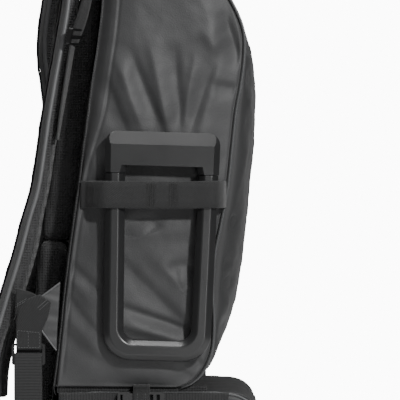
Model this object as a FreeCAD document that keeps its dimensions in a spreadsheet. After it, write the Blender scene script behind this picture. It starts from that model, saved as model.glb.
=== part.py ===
import FreeCAD, Part
import math
import os

# Fishing tackle backpack.  Row frame in millimetres: +Z up, width along X,
# the bag's front faces -Y, the harness side faces +Y, feet stand on z = 0.

V = FreeCAD.Vector

DIMENSIONS = [
    ("half_width", 150.0),
    ("panel_thick", 2.0),
    ("bottom_z", 119.0),
    ("base_half_width", 155.0),
    ("base_top_z", 115.0),
    ("base_floor_z", 4.0),
    ("base_wall", 2.5),
    ("foot_radius", 11.0),
    ("foot_inset_x", 120.0),
    ("foot_front_y", -68.0),
    ("foot_back_y", 70.0),
    ("hinge_y", 50.0),
    ("hinge_z", 534.0),
    ("mouth_tilt", 6.0),
    ("mouth_length", 96.0),
    ("tape_thick", 1.6),
    ("tape_height", 9.5),
    ("tape_gap", 0.4),
    ("welt_radius", 3.0),
    ("flap_hinge_y", -96.0),
    ("flap_hinge_z", 14.0),
    ("flap_tilt", 5.0),
    ("flap_thick", 3.0),
    ("flap_half_width", 143.0),
    ("flap_height", 76.0),
    ("flap_bead", 1.9),
    ("webbing_thick", 1.4),
    ("webbing_width", 25.0),
    ("loop_tilt", 1.7),
    ("loop_thick", 14.0),
    ("loop_back_x", -161.0),
    ("loop_leg_width", 17.7),
    ("loop_centre_z", 246.5),
    ("pad_thick", 14.0),
    ("strap_width", 64.0),
    ("strap_thick", 16.0),
    ("slider_width", 9.0),
    ("pull_thick", 2.0),
    ("pull_length", 30.0),
    ("pin_radius", 0.9),
    ("pin_clearance", 0.08),
    ("buckle_width", 27.0),
    ("buckle_thick", 8.0),
    ("buckle_wall", 1.6),
    ("handle_thick", 5.0),
    ("handle_half_width", 46.0),
    ("handle_drop", 32.0),
    ("handle_axis_y", 57.0),
    ("handle_axis_z", 520.0),
    ("piping_radius", 1.2),
]

# Distance of a slider's cross pin in front of its block's inner face.
PIN_Y = -1.8

# Seam between side gusset and front panel, as (y, z), from the top down.
FRONT_SEAM = [
    (-44.6, 513.0), (-52.0, 494.0), (-60.5, 474.0), (-70.0, 455.0), (-74.8, 440.0),
    (-75.5, 420.0), (-72.0, 391.0), (-68.0, 369.0), (-65.0, 342.0), (-60.0, 297.0),
    (-54.0, 265.0), (-49.0, 240.0), (-47.0, 206.0), (-48.0, 180.0), (-46.0, 152.0),
    (-37.0, 132.0), (-27.0, 123.0), (-18.0, 119.5),
]

# Profile of the front panel on the bag's middle line, matched point for point.
FRONT_MIDDLE = [
    (-46.0, 513.0), (-54.5, 494.0), (-64.0, 474.0), (-72.0, 455.0), (-79.0, 436.0),
    (-84.0, 418.0), (-87.0, 391.0), (-87.0, 369.0), (-86.5, 342.0), (-82.0, 297.0),
    (-79.0, 270.0), (-76.0, 243.0), (-70.5, 205.0), (-64.5, 181.0), (-52.0, 151.0),
    (-40.0, 131.0), (-28.0, 121.5), (-18.0, 119.5),
]

# Outer face of the harness side, as (y, z), from the base up.
BACK_LINE = [
    (96.0, 120.0), (91.0, 160.0), (87.0, 200.0), (81.5, 245.0), (75.0, 290.0),
    (68.5, 342.0), (61.5, 396.0), (55.0, 440.0), (51.5, 480.0), (50.0, 526.0),
]

# Middle line of a shoulder strap: (x, y, z, thickness factor).
STRAP_LINE = [
    (84.0, 56.0, 500.0, 0.45), (84.5, 60.0, 512.0, 0.55), (85.0, 69.0, 519.0, 0.75),
    (86.0, 78.0, 511.0, 0.95), (88.0, 82.0, 494.0, 1.0), (90.0, 82.8, 468.0, 1.0),
    (93.0, 88.3, 432.0, 1.0), (96.0, 94.6, 396.0, 1.0), (99.0, 100.5, 360.0, 1.0),
    (101.0, 105.0, 328.0, 1.0), (103.5, 110.0, 297.0, 1.0), (106.0, 118.0, 269.0, 1.0),
    (108.0, 126.0, 238.0, 1.0), (109.5, 136.0, 205.0, 1.0), (110.5, 144.0, 178.0, 1.0),
    (111.5, 152.0, 150.0, 0.95), (112.0, 156.5, 122.0, 0.85), (112.0, 156.0, 98.0, 0.6),
]

# How far the right strap, hanging slacker, stands out from the line above.
STRAP_SLACK = [
    0.0, 0.8, 5.5, 12.5, 21.0, 26.0, 24.0, 14.0, 4.5, 0.0, 0.0, 0.0, 0.0, 0.0, 0.0, 0.0, 0.0, 0.0,
]


def rot_x(angle):
    return FreeCAD.Rotation(V(1, 0, 0), angle)


def make_sheet(doc):
    sheet = doc.addObject("Spreadsheet::Sheet", "Dims")
    for row, (name, value) in enumerate(DIMENSIONS, start=1):
        sheet.set("A%d" % row, name)
        sheet.set("B%d" % row, str(value))
        sheet.setAlias("B%d" % row, name)
    doc.recompute()
    return sheet


class Bag:
    """Document, dimension sheet and the finished sub-parts."""

    def __init__(self):
        self.doc = FreeCAD.newDocument("tackle_backpack")
        self.sheet = make_sheet(self.doc)
        self.nodes = []

    def dim(self, name):
        return float(self.sheet.get(name))

    def keep(self, obj, label):
        obj.Label = label
        self.nodes.append(obj)
        return obj

    def feature(self, label, shape, placement=None):
        obj = self.doc.addObject("Part::Feature", "Solid_" + label)
        obj.Shape = shape
        if placement is not None:
            obj.Placement = placement
        return self.keep(obj, label)

    def body(self, label, placement=None, alone=True):
        body = self.doc.addObject("PartDesign::Body", "Body_" + label)
        if placement is not None:
            body.Placement = placement
        return self.keep(body, label) if alone else body

    def loose(self, name, shape):
        obj = self.doc.addObject("Part::Feature", "Piece_" + name)
        obj.Shape = shape
        return obj

    def group(self, label, pieces):
        """One sub-part made of separate pieces of the same material."""
        obj = self.doc.addObject("Part::Compound", "Group_" + label)
        obj.Links = pieces
        return self.keep(obj, label)


def origin_plane(body, role):
    for item in body.Origin.OriginFeatures:
        if item.Role == role:
            return item
    raise ValueError(role)


def sketch(body, name, role, geometry, offset=0.0):
    sk = body.newObject("Sketcher::SketchObject", body.Name + "_" + name)
    sk.AttachmentSupport = [(origin_plane(body, role), "")]
    sk.MapMode = "FlatFace"
    sk.AttachmentOffset = FreeCAD.Placement(V(0, 0, offset), FreeCAD.Rotation())
    for item in geometry:
        sk.addGeometry(item, False)
    return sk


def pad(body, sk, length, midplane=False, reverse=False):
    feature = body.newObject("PartDesign::Pad", sk.Name + "_pad")
    feature.Profile = sk
    feature.setExpression("Length", length)
    feature.Midplane = midplane
    feature.Reversed = reverse
    sk.Visibility = False
    return feature


def pocket(body, sk, length, midplane=False, reverse=False):
    feature = body.newObject("PartDesign::Pocket", sk.Name + "_pocket")
    feature.Profile = sk
    feature.setExpression("Length", length)
    feature.Midplane = midplane
    feature.Reversed = reverse
    sk.Visibility = False
    return feature


def edges_where(shape, test):
    return ["Edge%d" % (i + 1) for i, edge in enumerate(shape.Edges) if test(edge)]


def fillet(body, base, names, radius):
    feature = body.newObject("PartDesign::Fillet", base.Name + "_round")
    feature.Base = (base, names)
    feature.Radius = radius
    return feature


def line(p, q):
    return Part.LineSegment(V(p[0], p[1], 0), V(q[0], q[1], 0))


def polygon(points):
    return [line(p, q) for p, q in zip(points, points[1:] + points[:1])]


def curve(points):
    spline = Part.BSplineCurve()
    spline.interpolate([V(p[0], p[1], 0) for p in points])
    return spline


def circle(cx, cy, radius):
    return Part.Circle(V(cx, cy, 0), V(0, 0, 1), radius)


def rounded_polygon(points, radii):
    """Closed outline with each corner rounded by its own radius."""
    count = len(points)
    starts = []
    ends = []
    arcs = []
    for i in range(count):
        here = V(points[i][0], points[i][1], 0)
        before = V(points[i - 1][0], points[i - 1][1], 0) - here
        after = V(points[(i + 1) % count][0], points[(i + 1) % count][1], 0) - here
        before.normalize()
        after.normalize()
        radius = radii[i]
        if radius <= 0:
            starts.append(here)
            ends.append(here)
            arcs.append(None)
            continue
        half = before.getAngle(after) / 2.0
        reach = radius / math.tan(half)
        first = here + before * reach
        last = here + after * reach
        bisector = before + after
        bisector.normalize()
        middle = here + bisector * (radius / math.sin(half) - radius)
        starts.append(first)
        ends.append(last)
        arcs.append(Part.Arc(first, middle, last))
    outline = []
    for i in range(count):
        if arcs[i] is not None:
            outline.append(arcs[i])
        j = (i + 1) % count
        if (starts[j] - ends[i]).Length > 1e-6:
            outline.append(Part.LineSegment(ends[i], starts[j]))
    return outline


def offset_line(points, distance):
    """Polyline shifted along its left-hand normal."""
    result = []
    for i, point in enumerate(points):
        a = points[max(i - 1, 0)]
        b = points[min(i + 1, len(points) - 1)]
        dy = b[0] - a[0]
        dz = b[1] - a[1]
        size = math.hypot(dy, dz)
        result.append((point[0] - dz / size * distance, point[1] + dy / size * distance))
    return result


def section_wire(x, outer, inner):
    """Closed ribbon-shaped outline in the plane at x."""
    top = Part.BSplineCurve()
    top.interpolate([V(x, p[0], p[1]) for p in outer])
    low = Part.BSplineCurve()
    low.interpolate([V(x, p[0], p[1]) for p in reversed(inner)])
    first = top.toShape()
    second = Part.makeLine(V(x, *outer[-1]), V(x, *inner[-1]))
    third = low.toShape()
    fourth = Part.makeLine(V(x, *inner[0]), V(x, *outer[0]))
    return Part.Wire([first, second, third, fourth])


def blend(low, high, amount):
    return [
        (a[0] + (b[0] - a[0]) * amount, a[1] + (b[1] - a[1]) * amount)
        for a, b in zip(low, high)
    ]


def bulge(x, half, power):
    """0 at the side seams, 1 over the middle, with rounded shoulders."""
    return (1.0 - abs(x / half) ** power) ** (1.0 / power)


def soft_shell(seam, middle, half, thick, power, flip=1.0):
    """Curved panel from one side seam to the other."""
    wires = []
    for share in (-1.0, -0.97, -0.9, -0.75, -0.5, -0.2, 0.2, 0.5, 0.75, 0.9, 0.97, 1.0):
        x = share * half
        outer = blend(seam, middle, bulge(x, half, power))
        wires.append(section_wire(x, outer, offset_line(outer, thick * flip)))
    return Part.makeLoft(wires, True, False)


def sample_line(points, count):
    """Even stations along a smooth line through 3-D points."""
    spline = Part.BSplineCurve()
    spline.interpolate([V(*p[:3]) for p in points])
    edge = spline.toShape()
    params = [
        edge.getParameterByLength(edge.Length * min(i / (count - 1.0), 0.99999)) for i in range(count)
    ]
    knots = [spline.parameter(V(*p[:3])) for p in points]
    stations = []
    for t in params:
        k = 0
        while k < len(points) - 2 and t > knots[k + 1]:
            k += 1
        share = (t - knots[k]) / (knots[k + 1] - knots[k])
        share = min(max(share, 0.0), 1.0)
        tangent = V(*spline.tangent(t)[0])
        stations.append((spline.value(t), tangent, k, share))
    return stations


def mix(a, b, share):
    return a + (b - a) * share


def ribbon(points, across, width, thick, count=16, factors=None, corner=0.0):
    """Flat strap: a rectangle carried along a line, turned to lie across it."""
    wires = []
    for centre, tangent, k, share in sample_line(points, count):
        side = V(*across[k]) * (1.0 - share) + V(*across[k + 1]) * share
        side = side - tangent * side.dot(tangent)
        side.normalize()
        normal = tangent.cross(side)
        factor = 1.0
        if factors:
            factor = mix(factors[k], factors[k + 1], share)
        w = width / 2.0
        t = thick * factor / 2.0
        c = min(corner, t * 0.8)
        if c > 0:
            shape = [
                (-w + c, -t), (w - c, -t), (w, -t + c), (w, t - c),
                (w - c, t), (-w + c, t), (-w, t - c), (-w, -t + c),
            ]
        else:
            shape = [(-w, -t), (w, -t), (w, t), (-w, t)]
        corners = [centre + side * a + normal * b for a, b in shape]
        wires.append(Part.makePolygon(corners + corners[:1]))
    return Part.makeLoft(wires, True, False)


def side_name(sign):
    return "left" if sign < 0 else "right"


def mouth_point(bag, v, w):
    """Point of the tilted mouth frame: v towards the back, w away from the bag."""
    tilt = math.radians(bag.dim("mouth_tilt"))
    y = bag.dim("hinge_y") + v * math.cos(tilt) - w * math.sin(tilt)
    z = bag.dim("hinge_z") + v * math.sin(tilt) + w * math.cos(tilt)
    return (y, z)


def mouth_placement(bag):
    position = V(0, bag.dim("hinge_y"), bag.dim("hinge_z"))
    return FreeCAD.Placement(position, rot_x(bag.dim("mouth_tilt")))


def flap_placement(bag):
    position = V(0, bag.dim("flap_hinge_y"), bag.dim("flap_hinge_z"))
    return FreeCAD.Placement(position, rot_x(-bag.dim("flap_tilt")))


def make_side_panels(bag):
    """The two flat gussets of the upper bag."""
    thick = bag.dim("panel_thick")
    low = bag.dim("bottom_z") + thick + 0.2
    front = [p for p in FRONT_SEAM[:-1]] + [(-20.0, low)]
    inset = [(p[0], max(p[1], low)) for p in offset_line(front, thick + 0.6)]
    inset[-1] = (inset[-1][0] + 1.0, low)
    top_w = -bag.dim("tape_height") - 0.4
    inset[0] = mouth_point(bag, -bag.dim("mouth_length") + 4.0, top_w)
    back = [(p[0] - thick - 0.4, p[1]) for p in BACK_LINE]
    back[0] = (back[0][0], low)
    back[-1] = mouth_point(bag, -3.5, top_w)
    outline = [curve(inset), line(inset[-1], back[0]), curve(back), line(back[-1], inset[0])]
    for sign in (-1, 1):
        start = sign * bag.dim("half_width")
        body = bag.body("side_panel_" + side_name(sign), FreeCAD.Placement(V(start, 0, 0), rot_x(0)))
        sk = sketch(body, "outline", "YZ_Plane", outline)
        pad(body, sk, "Dims.panel_thick", reverse=sign > 0)


def make_front_panel(bag):
    """Bulging front sheet from seam to seam, turning under at the bottom."""
    shell = soft_shell(
        FRONT_SEAM, FRONT_MIDDLE, bag.dim("half_width"), bag.dim("panel_thick"), 3.0
    )
    bag.feature("front_panel", shell)


def make_bottom_panel(bag):
    """Floor of the upper bag."""
    half = bag.dim("half_width") - 1.0
    body = bag.body("bottom_panel", FreeCAD.Placement(V(0, 0, bag.dim("bottom_z")), rot_x(0)))
    outline = rounded_polygon(
        [(-half, -17.4), (half, -17.4), (half, 93.4), (-half, 93.4)], [0, 0, 6, 6]
    )
    sk = sketch(body, "outline", "XY_Plane", outline)
    pad(body, sk, "Dims.panel_thick")


def strip_profile(points, thick):
    inner = offset_line(points, thick)
    return [
        curve(points),
        line(points[-1], inner[-1]),
        curve(list(reversed(inner))),
        line(inner[0], points[0]),
    ]


def make_back(bag):
    """Back panel, stiffener sheet and the body-side pads."""
    full = BACK_LINE
    body = bag.body("back_panel")
    sk = sketch(body, "profile", "YZ_Plane", strip_profile(full, bag.dim("panel_thick")))
    feature = pad(body, sk, "2 * Dims.half_width - 4", midplane=True)
    feature.Label = "back_panel_sheet"
    lower = [(97.0, 14.0), (97.0, 60.0), (96.8, 112.0)]
    upper = [(p[0] + 0.6, p[1]) for p in full[1:7]]
    sheet_line = lower + upper
    frame_line = [(p[0] + 1.7, p[1]) for p in sheet_line]
    body = bag.body("back_frame_sheet")
    sk = sketch(body, "profile", "YZ_Plane", strip_profile(frame_line, 1.5))
    pad(body, sk, "240 + 0 * Dims.half_width", midplane=True)
    make_pads(bag)


def back_y(z):
    """Outer face of the stiffened back at a height."""
    line_points = [(98.9, 0.0), (98.9, 112.0)] + [(p[0] + 2.3, p[1]) for p in BACK_LINE[1:]]
    for a, b in zip(line_points, line_points[1:]):
        if a[1] <= z <= b[1]:
            return mix(a[0], b[0], (z - a[1]) / (b[1] - a[1]))
    return line_points[-1][0]


def pad_profile(low, high, clear, thick_low, thick_high):
    """Side view of a pad on the back, from height low to high."""
    inner = []
    outer = []
    for i in range(7):
        share = i / 6.0
        z = mix(low, high, share)
        y = back_y(z) + clear
        inner.append((y, z))
        outer.append((y + mix(thick_low, thick_high, share), z))
    return [curve(outer), line(outer[-1], inner[-1]), curve(list(reversed(inner))), line(inner[0], outer[0])]


def make_pads(bag):
    """Two long pads beside the air channel and one lumbar pad."""
    thick = bag.dim("pad_thick")
    upper = pad_profile(253.0, 484.0, 0.5, thick + 11.5, thick + 4.0)
    for sign in (-1, 1):
        body = bag.body("back_pad_" + side_name(sign), FreeCAD.Placement(V(sign * 62.0, 0, 0), rot_x(0)))
        pad(body, sketch(body, "profile", "YZ_Plane", upper), "84 * Dims.pad_thick / 14", midplane=True)
    lumbar = pad_profile(22.0, 250.0, 0.8, thick - 1.5, thick + 10.0)
    body = bag.body("lumbar_pad")
    pad(body, sketch(body, "profile", "YZ_Plane", lumbar), "216 * Dims.pad_thick / 14", midplane=True)


def make_piping(bag):
    """Welt along the seam between side gusset and front panel."""
    radius = bag.dim("piping_radius")
    for sign in (-1, 1):
        x = sign * (bag.dim("half_width") + radius + 0.1)
        path = Part.BSplineCurve()
        path.interpolate([V(x, p[0] - 0.8, p[1] - 1.4) for p in FRONT_SEAM[1:-1]])
        edge = path.toShape()
        start = edge.Curve.value(edge.FirstParameter)
        tangent = V(*edge.Curve.tangent(edge.FirstParameter)[0])
        ring = Part.Wire([Part.makeCircle(radius, start, tangent)])
        solid = Part.Wire([edge]).makePipeShell([ring], True, True)
        bag.feature("piping_" + side_name(sign), solid)


def u_band(half, front, corner, thick):
    """Outline of a band that runs along one side, across, and back."""
    outer = [(-half, -4.0), (-half, -front), (half, -front), (half, -4.0)]
    h = half - thick
    f = front - thick
    inner = [(h, -4.0), (h, -f), (-h, -f), (-h, -4.0)]
    c = corner - thick
    return rounded_polygon(outer + inner, [0, corner, corner, 0, 0, c, c, 0])


def make_mouth_tapes(bag):
    """Zip tapes round the mouth: the lower one on the bag, the upper on the lid."""
    outline = u_band(
        bag.dim("half_width"), bag.dim("mouth_length"), 14.0, bag.dim("tape_thick")
    )
    for label, lower in (("lid_zip_lower", True), ("lid_zip_upper", False)):
        body = bag.body(label, mouth_placement(bag))
        gap = bag.dim("tape_gap")
        sk = sketch(body, "band", "XY_Plane", outline, -gap if lower else gap)
        pad(body, sk, "Dims.tape_height - Dims.tape_gap", reverse=lower)


def make_lid(bag):
    """Domed lid sheet over the mouth and the welt it folds about."""
    low = bag.dim("tape_height") + 1.2
    length = bag.dim("mouth_length")
    shares = [0.0, 0.02, 0.08, 0.2, 0.4, 0.6, 0.8, 0.93, 1.0]
    heights = [0.0, 5.0, 9.0, 12.5, 15.0, 14.0, 10.0, 6.0, 1.5]
    seam = []
    middle = []
    for share, height in zip(shares, heights):
        v = -length + (length - 4.5) * share
        seam.append(mouth_point(bag, v, low + height * 0.06))
        middle.append(mouth_point(bag, v, low + height))
    shell = soft_shell(seam, middle, bag.dim("half_width") - 0.5, bag.dim("panel_thick"), 4.0, -1.0)
    bag.feature("lid_panel", shell)
    welt = bag.doc.addObject("Part::Cylinder", "LidWelt")
    welt.setExpression("Radius", "Dims.welt_radius")
    welt.setExpression("Height", "2 * Dims.half_width - 6")
    place = V(-(bag.dim("half_width") - 3.0), bag.dim("hinge_y"), bag.dim("hinge_z"))
    welt.Placement = FreeCAD.Placement(place, FreeCAD.Rotation(V(0, 1, 0), 90))
    bag.keep(welt, "lid_hinge_welt")


def make_slider(bag, label, placement):
    """Zip slider: block, two ears and the cross pin that carries the pull."""
    body = bag.body(label, placement)
    block = sketch(body, "block", "YZ_Plane", rounded_polygon(
        [(0.4, -3.4), (4.4, -3.4), (4.4, 5.6), (0.4, 5.6)], [1.2, 0.0, 0.0, 1.2]))
    pad(body, block, "Dims.slider_width", midplane=True)
    ears = sketch(body, "ears", "YZ_Plane", rounded_polygon(
        [(-3.5, -2.2), (1.6, -2.2), (1.6, 3.8), (-3.5, 2.0)], [1.6, 0.0, 0.0, 1.6]))
    pad(body, ears, "Dims.slider_width - 1", midplane=True)
    gap = sketch(body, "gap", "YZ_Plane", polygon([(-4.5, -4.0), (0.35, -4.0), (0.35, 6.0), (-4.5, 6.0)]))
    pocket(body, gap, "Dims.slider_width - 4", midplane=True)
    pin = sketch(body, "pin", "YZ_Plane", [circle(PIN_Y, 0.0, bag.dim("pin_radius"))])
    pad(body, pin, "Dims.slider_width - 2", midplane=True)
    return body


def make_pull(bag, label, placement, swing):
    """Moulded pull tab hanging from the slider's cross pin."""
    turn = FreeCAD.Placement(V(0, 0, 0), rot_x(swing))
    body = bag.body(label, placement.multiply(FreeCAD.Placement(V(0, PIN_Y, 0), rot_x(0))).multiply(turn))
    bore = bag.dim("pin_radius") + bag.dim("pin_clearance")
    knuckle = sketch(body, "knuckle", "YZ_Plane", [circle(0, 0, 1.75), circle(0, 0, bore)])
    pad(body, knuckle, "Dims.slider_width - 4.6", midplane=True)
    length = bag.dim("pull_length")
    neck = polygon([(-2.2, -1.35), (2.2, -1.35), (2.2, -5.5), (-2.2, -5.5)])
    neck_sketch = sketch(body, "neck", "XZ_Plane", neck)
    pad(body, neck_sketch, "Dims.pull_thick", midplane=True)
    tab = rounded_polygon(
        [(-3.6, -5.0), (3.6, -5.0), (4.6, -length), (-4.6, -length)], [2.0, 2.0, 3.6, 3.6]
    )
    tab_sketch = sketch(body, "tab", "XZ_Plane", tab + [circle(0, -length + 7.0, 2.2)])
    pad(body, tab_sketch, "Dims.pull_thick", midplane=True)
    return body


def make_lid_sliders(bag):
    for sign in (-1, 1):
        front = -bag.dim("mouth_length") - 0.45 - 4.4
        place = mouth_placement(bag).multiply(FreeCAD.Placement(V(sign * 9.0, front, -6.4), rot_x(0)))
        make_slider(bag, "lid_slider_" + side_name(sign), place)
        make_pull(bag, "lid_pull_" + side_name(sign), place, -bag.dim("mouth_tilt") - 20.0)


def make_base_shell(bag):
    """Floor, wrapped top and back, and side walls of the tackle compartment."""
    body = bag.body("base_floor", FreeCAD.Placement(V(0, 0, bag.dim("base_floor_z")), rot_x(0)))
    half = bag.dim("base_half_width") - 3.0
    outline = rounded_polygon([(-half, -91.5), (half, -91.5), (half, 91.0), (-half, 91.0)], [14] * 4)
    pad(body, sketch(body, "outline", "XY_Plane", outline), "Dims.base_wall + 0.5")
    wrap = [
        (-88.4, 98.9), (-85.8, 104.0), (-79.0, 110.5), (-68.0, 114.6), (-50.0, 115.0),
        (0.0, 115.0), (60.0, 115.0), (82.0, 114.0), (91.5, 108.5), (95.2, 98.0),
        (95.6, 60.0), (95.4, 24.0), (93.2, 12.0), (88.0, 8.2),
    ]
    body = bag.body("base_wrap_panel")
    wall = -bag.dim("base_wall")
    sk = sketch(body, "profile", "YZ_Plane", strip_profile(wrap, wall))
    pad(body, sk, "2 * Dims.base_half_width - 6", midplane=True)
    side = [
        (-93.5, 7.6), (-95.0, 20.0), (-89.2, 93.0), (-84.0, 105.0), (-70.0, 112.8),
        (-50.0, 115.0), (60.0, 115.0), (86.0, 112.0), (95.5, 98.0), (95.5, 24.0), (86.0, 7.6),
    ]
    radii = [0.0, 0.0, 8.0, 10.0, 10.0, 0.0, 0.0, 10.0, 10.0, 10.0, 0.0]
    for sign in (-1, 1):
        start = sign * bag.dim("base_half_width")
        label = "base_side_" + side_name(sign)
        body = bag.body(label, FreeCAD.Placement(V(start, 0, 0), rot_x(0)))
        sk = sketch(body, "outline", "YZ_Plane", rounded_polygon(side, radii))
        pad(body, sk, "Dims.base_wall", reverse=sign > 0)


def make_feet(bag):
    """Low rubber feet: one under each corner of the base and one in the middle."""
    places = [(0, "0")]
    for x_sign in (-1, 1):
        for y_name in ("foot_front_y", "foot_back_y"):
            places.append((x_sign, "Dims." + y_name))
    cones = []
    for x_sign, y_expression in places:
        cone = bag.doc.addObject("Part::Cone", "Foot")
        cone.setExpression("Radius1", "Dims.foot_radius - 1.5")
        cone.setExpression("Radius2", "Dims.foot_radius")
        cone.setExpression("Height", "Dims.base_floor_z")
        cone.setExpression(".Placement.Base.x", "%d * Dims.foot_inset_x" % x_sign)
        cone.setExpression(".Placement.Base.y", y_expression)
        cones.append(cone)
    bag.group("rubber_feet", cones)


def arch_band(half, height, corner, width):
    """Band up one side, across the top and down the other."""
    h = half - width
    t = height - width
    c = corner - width
    points = [(-half, 4.0), (-half, height), (half, height), (half, 4.0),
              (h, 4.0), (h, t), (-h, t), (-h, 4.0)]
    return rounded_polygon(points, [0, corner, corner, 0, 0, c, c, 0])


def make_base_flap(bag):
    """Drop-down front flap with its zip halves."""
    half = bag.dim("flap_half_width")
    height = bag.dim("flap_height")
    body = bag.body("base_front_flap", flap_placement(bag))
    outline = rounded_polygon([(-half, 0.0), (half, 0.0), (half, height), (-half, height)], [0, 0, 20, 20])
    pad(body, sketch(body, "outline", "XZ_Plane", outline, 0.0), "Dims.flap_thick", midplane=True)
    bead = sketch(body, "hinge_bead", "YZ_Plane", [circle(0.0, 0.0, bag.dim("flap_bead"))])
    pad(body, bead, "2 * Dims.flap_half_width", midplane=True)
    bands = (
        ("base_zip_lower", half + 3.6, height + 3.6, 23.6, 3.4),
        ("base_zip_upper", half + 8.4, height + 8.4, 28.4, 4.2),
    )
    for label, reach, top, corner, width in bands:
        body = bag.body(label, flap_placement(bag))
        sk = sketch(body, "band", "XZ_Plane", arch_band(reach, top, corner, width))
        pad(body, sk, "Dims.tape_thick", midplane=True)
    front = -bag.dim("tape_thick") / 2.0 - 0.75 - 4.4
    place = flap_placement(bag).multiply(FreeCAD.Placement(V(104.0, front, height - 2.0), rot_x(0)))
    make_slider(bag, "base_slider", place)
    make_pull(bag, "base_pull", place, bag.dim("flap_tilt"))


def local_buckle(bag, sign, y, z, x_out):
    """Frame of a side buckle: local X along -Y of the bag, local Z outwards."""
    out = V(sign, 0, 0)
    along = V(0, -1, 0)
    up = out.cross(along)
    matrix = FreeCAD.Matrix(
        along.x, up.x, out.x, sign * x_out,
        along.y, up.y, out.y, y,
        along.z, up.z, out.z, z,
        0, 0, 0, 1,
    )
    return FreeCAD.Placement(matrix)


def make_buckle(bag, sign):
    """Side-release buckle in the base belt: socket and sliding prong half."""
    w = bag.dim("buckle_width") / 2.0
    t = bag.dim("buckle_thick")
    wall = bag.dim("buckle_wall")
    place = local_buckle(bag, sign, 38.0, 102.5, bag.dim("base_half_width") + 0.5)
    body = bag.body("buckle_socket_" + side_name(sign), place)
    outline = rounded_polygon(
        [(0, -w), (10, -w), (12, -w + 1.4), (18, -w + 1.4), (20, -w), (25, -w),
         (25, w), (20, w), (18, w - 1.4), (12, w - 1.4), (10, w), (0, w)],
        [3, 0, 0, 0, 0, 1, 1, 0, 0, 0, 0, 3],
    )
    pad(body, sketch(body, "outline", "XY_Plane", outline), "Dims.buckle_thick")
    cavity = polygon([(7, wall), (26, wall), (26, t - wall), (7, t - wall)])
    pocket(body, sketch(body, "cavity", "XZ_Plane", cavity), "Dims.buckle_width - 6", midplane=True)
    slot = polygon([(2.6, -w + 2.5), (4.6, -w + 2.5), (4.6, w - 2.5), (2.6, w - 2.5)])
    pocket(body, sketch(body, "slot", "XY_Plane", slot, t + 1.0), "Dims.buckle_thick + 2")
    body = bag.body("buckle_prong_" + side_name(sign), place)
    p = w - 3.7
    low = wall + 0.5
    head = rounded_polygon([(25.4, -w), (42.0, -w), (42.0, w), (25.4, w)], [1.5, 3, 3, 1.5])
    pad(body, sketch(body, "head", "XY_Plane", head, low), "Dims.buckle_thick - 2 * Dims.buckle_wall - 1")
    for side in (-1, 1):
        prong = [(26.0, side * (p - 3.5)), (26.0, side * p), (12.0, side * p), (9.0, side * (p - 2.2)),
                 (9.0, side * (p - 3.5))]
        sk = sketch(body, "prong_a" if side < 0 else "prong_b", "XY_Plane", polygon(prong), low)
        pad(body, sk, "Dims.buckle_thick - 2 * Dims.buckle_wall - 1")
    guide = polygon([(26.0, -1.4), (26.0, 1.4), (12.0, 1.4), (12.0, -1.4)])
    pad(body, sketch(body, "guide", "XY_Plane", guide, low), "Dims.buckle_thick - 2 * Dims.buckle_wall - 1")
    for start in (29.0, 35.0):
        slot = polygon([(start, -w + 2.5), (start + 3.0, -w + 2.5), (start + 3.0, w - 2.5), (start, w - 2.5)])
        sk = sketch(body, "slot_a" if start < 30 else "slot_b", "XY_Plane", slot, t + 1.0)
        pocket(body, sk, "Dims.buckle_thick + 2")


def plate_yz(bag, label, x_inner, sign, outline, thick_expression, alone=True):
    """Flat piece lying in a YZ plane, thickness away from the bag."""
    body = bag.body(label, FreeCAD.Placement(V(sign * x_inner, 0, 0), rot_x(0)), alone)
    pad(body, sketch(body, "outline", "YZ_Plane", outline), thick_expression, reverse=sign < 0)
    return body


def make_base_belts(bag):
    """Ribbed belt webbing on each side of the base, and the link straps."""
    w = bag.dim("webbing_width") / 2.0
    for sign in (-1, 1):
        name = side_name(sign)
        x = bag.dim("base_half_width") + 0.5
        rear = polygon([(38.5, 102.5 - w), (91.0, 102.5 - w), (91.0, 102.5 + w), (38.5, 102.5 + w)])
        rear_half = plate_yz(bag, "belt_rear_" + name, x, sign, rear, "Dims.webbing_thick", False)
        front = polygon([(-62.0, 102.5 - w), (2.0, 102.5 - w), (2.0, 102.5 + w), (-62.0, 102.5 + w)])
        front_half = plate_yz(bag, "belt_front_" + name, x, sign, front, "Dims.webbing_thick", False)
        bag.group("base_belt_" + name, [rear_half, front_half])
        x_out = bag.dim("base_half_width") + bag.dim("buckle_thick") + 1.4
        points = [
            (sign * 152.3, 16.5, 120.6), (sign * (x_out - 4.0), 16.5, 120.4), (sign * x_out, 16.5, 115.0),
            (sign * x_out, 16.5, 102.0), (sign * x_out, 16.5, 90.0), (sign * (x_out - 4.5), 16.5, 80.0),
            (sign * 157.8, 16.5, 74.0), (sign * 157.0, 16.5, 66.0), (sign * 156.8, 16.5, 52.0),
        ]
        bag.feature("link_strap_" + name, ribbon(points, [(0, 1, 0)] * 9, 15.0, 1.2, 22))


def loop_placement(bag):
    position = V(bag.dim("loop_back_x"), 0, bag.dim("loop_centre_z"))
    return FreeCAD.Placement(position, rot_x(bag.dim("loop_tilt")))


def taper(bag, z):
    """Half-width of the loop, slightly narrower towards the bow's bottom."""
    return 49.6 + 0.0165 * z


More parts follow.
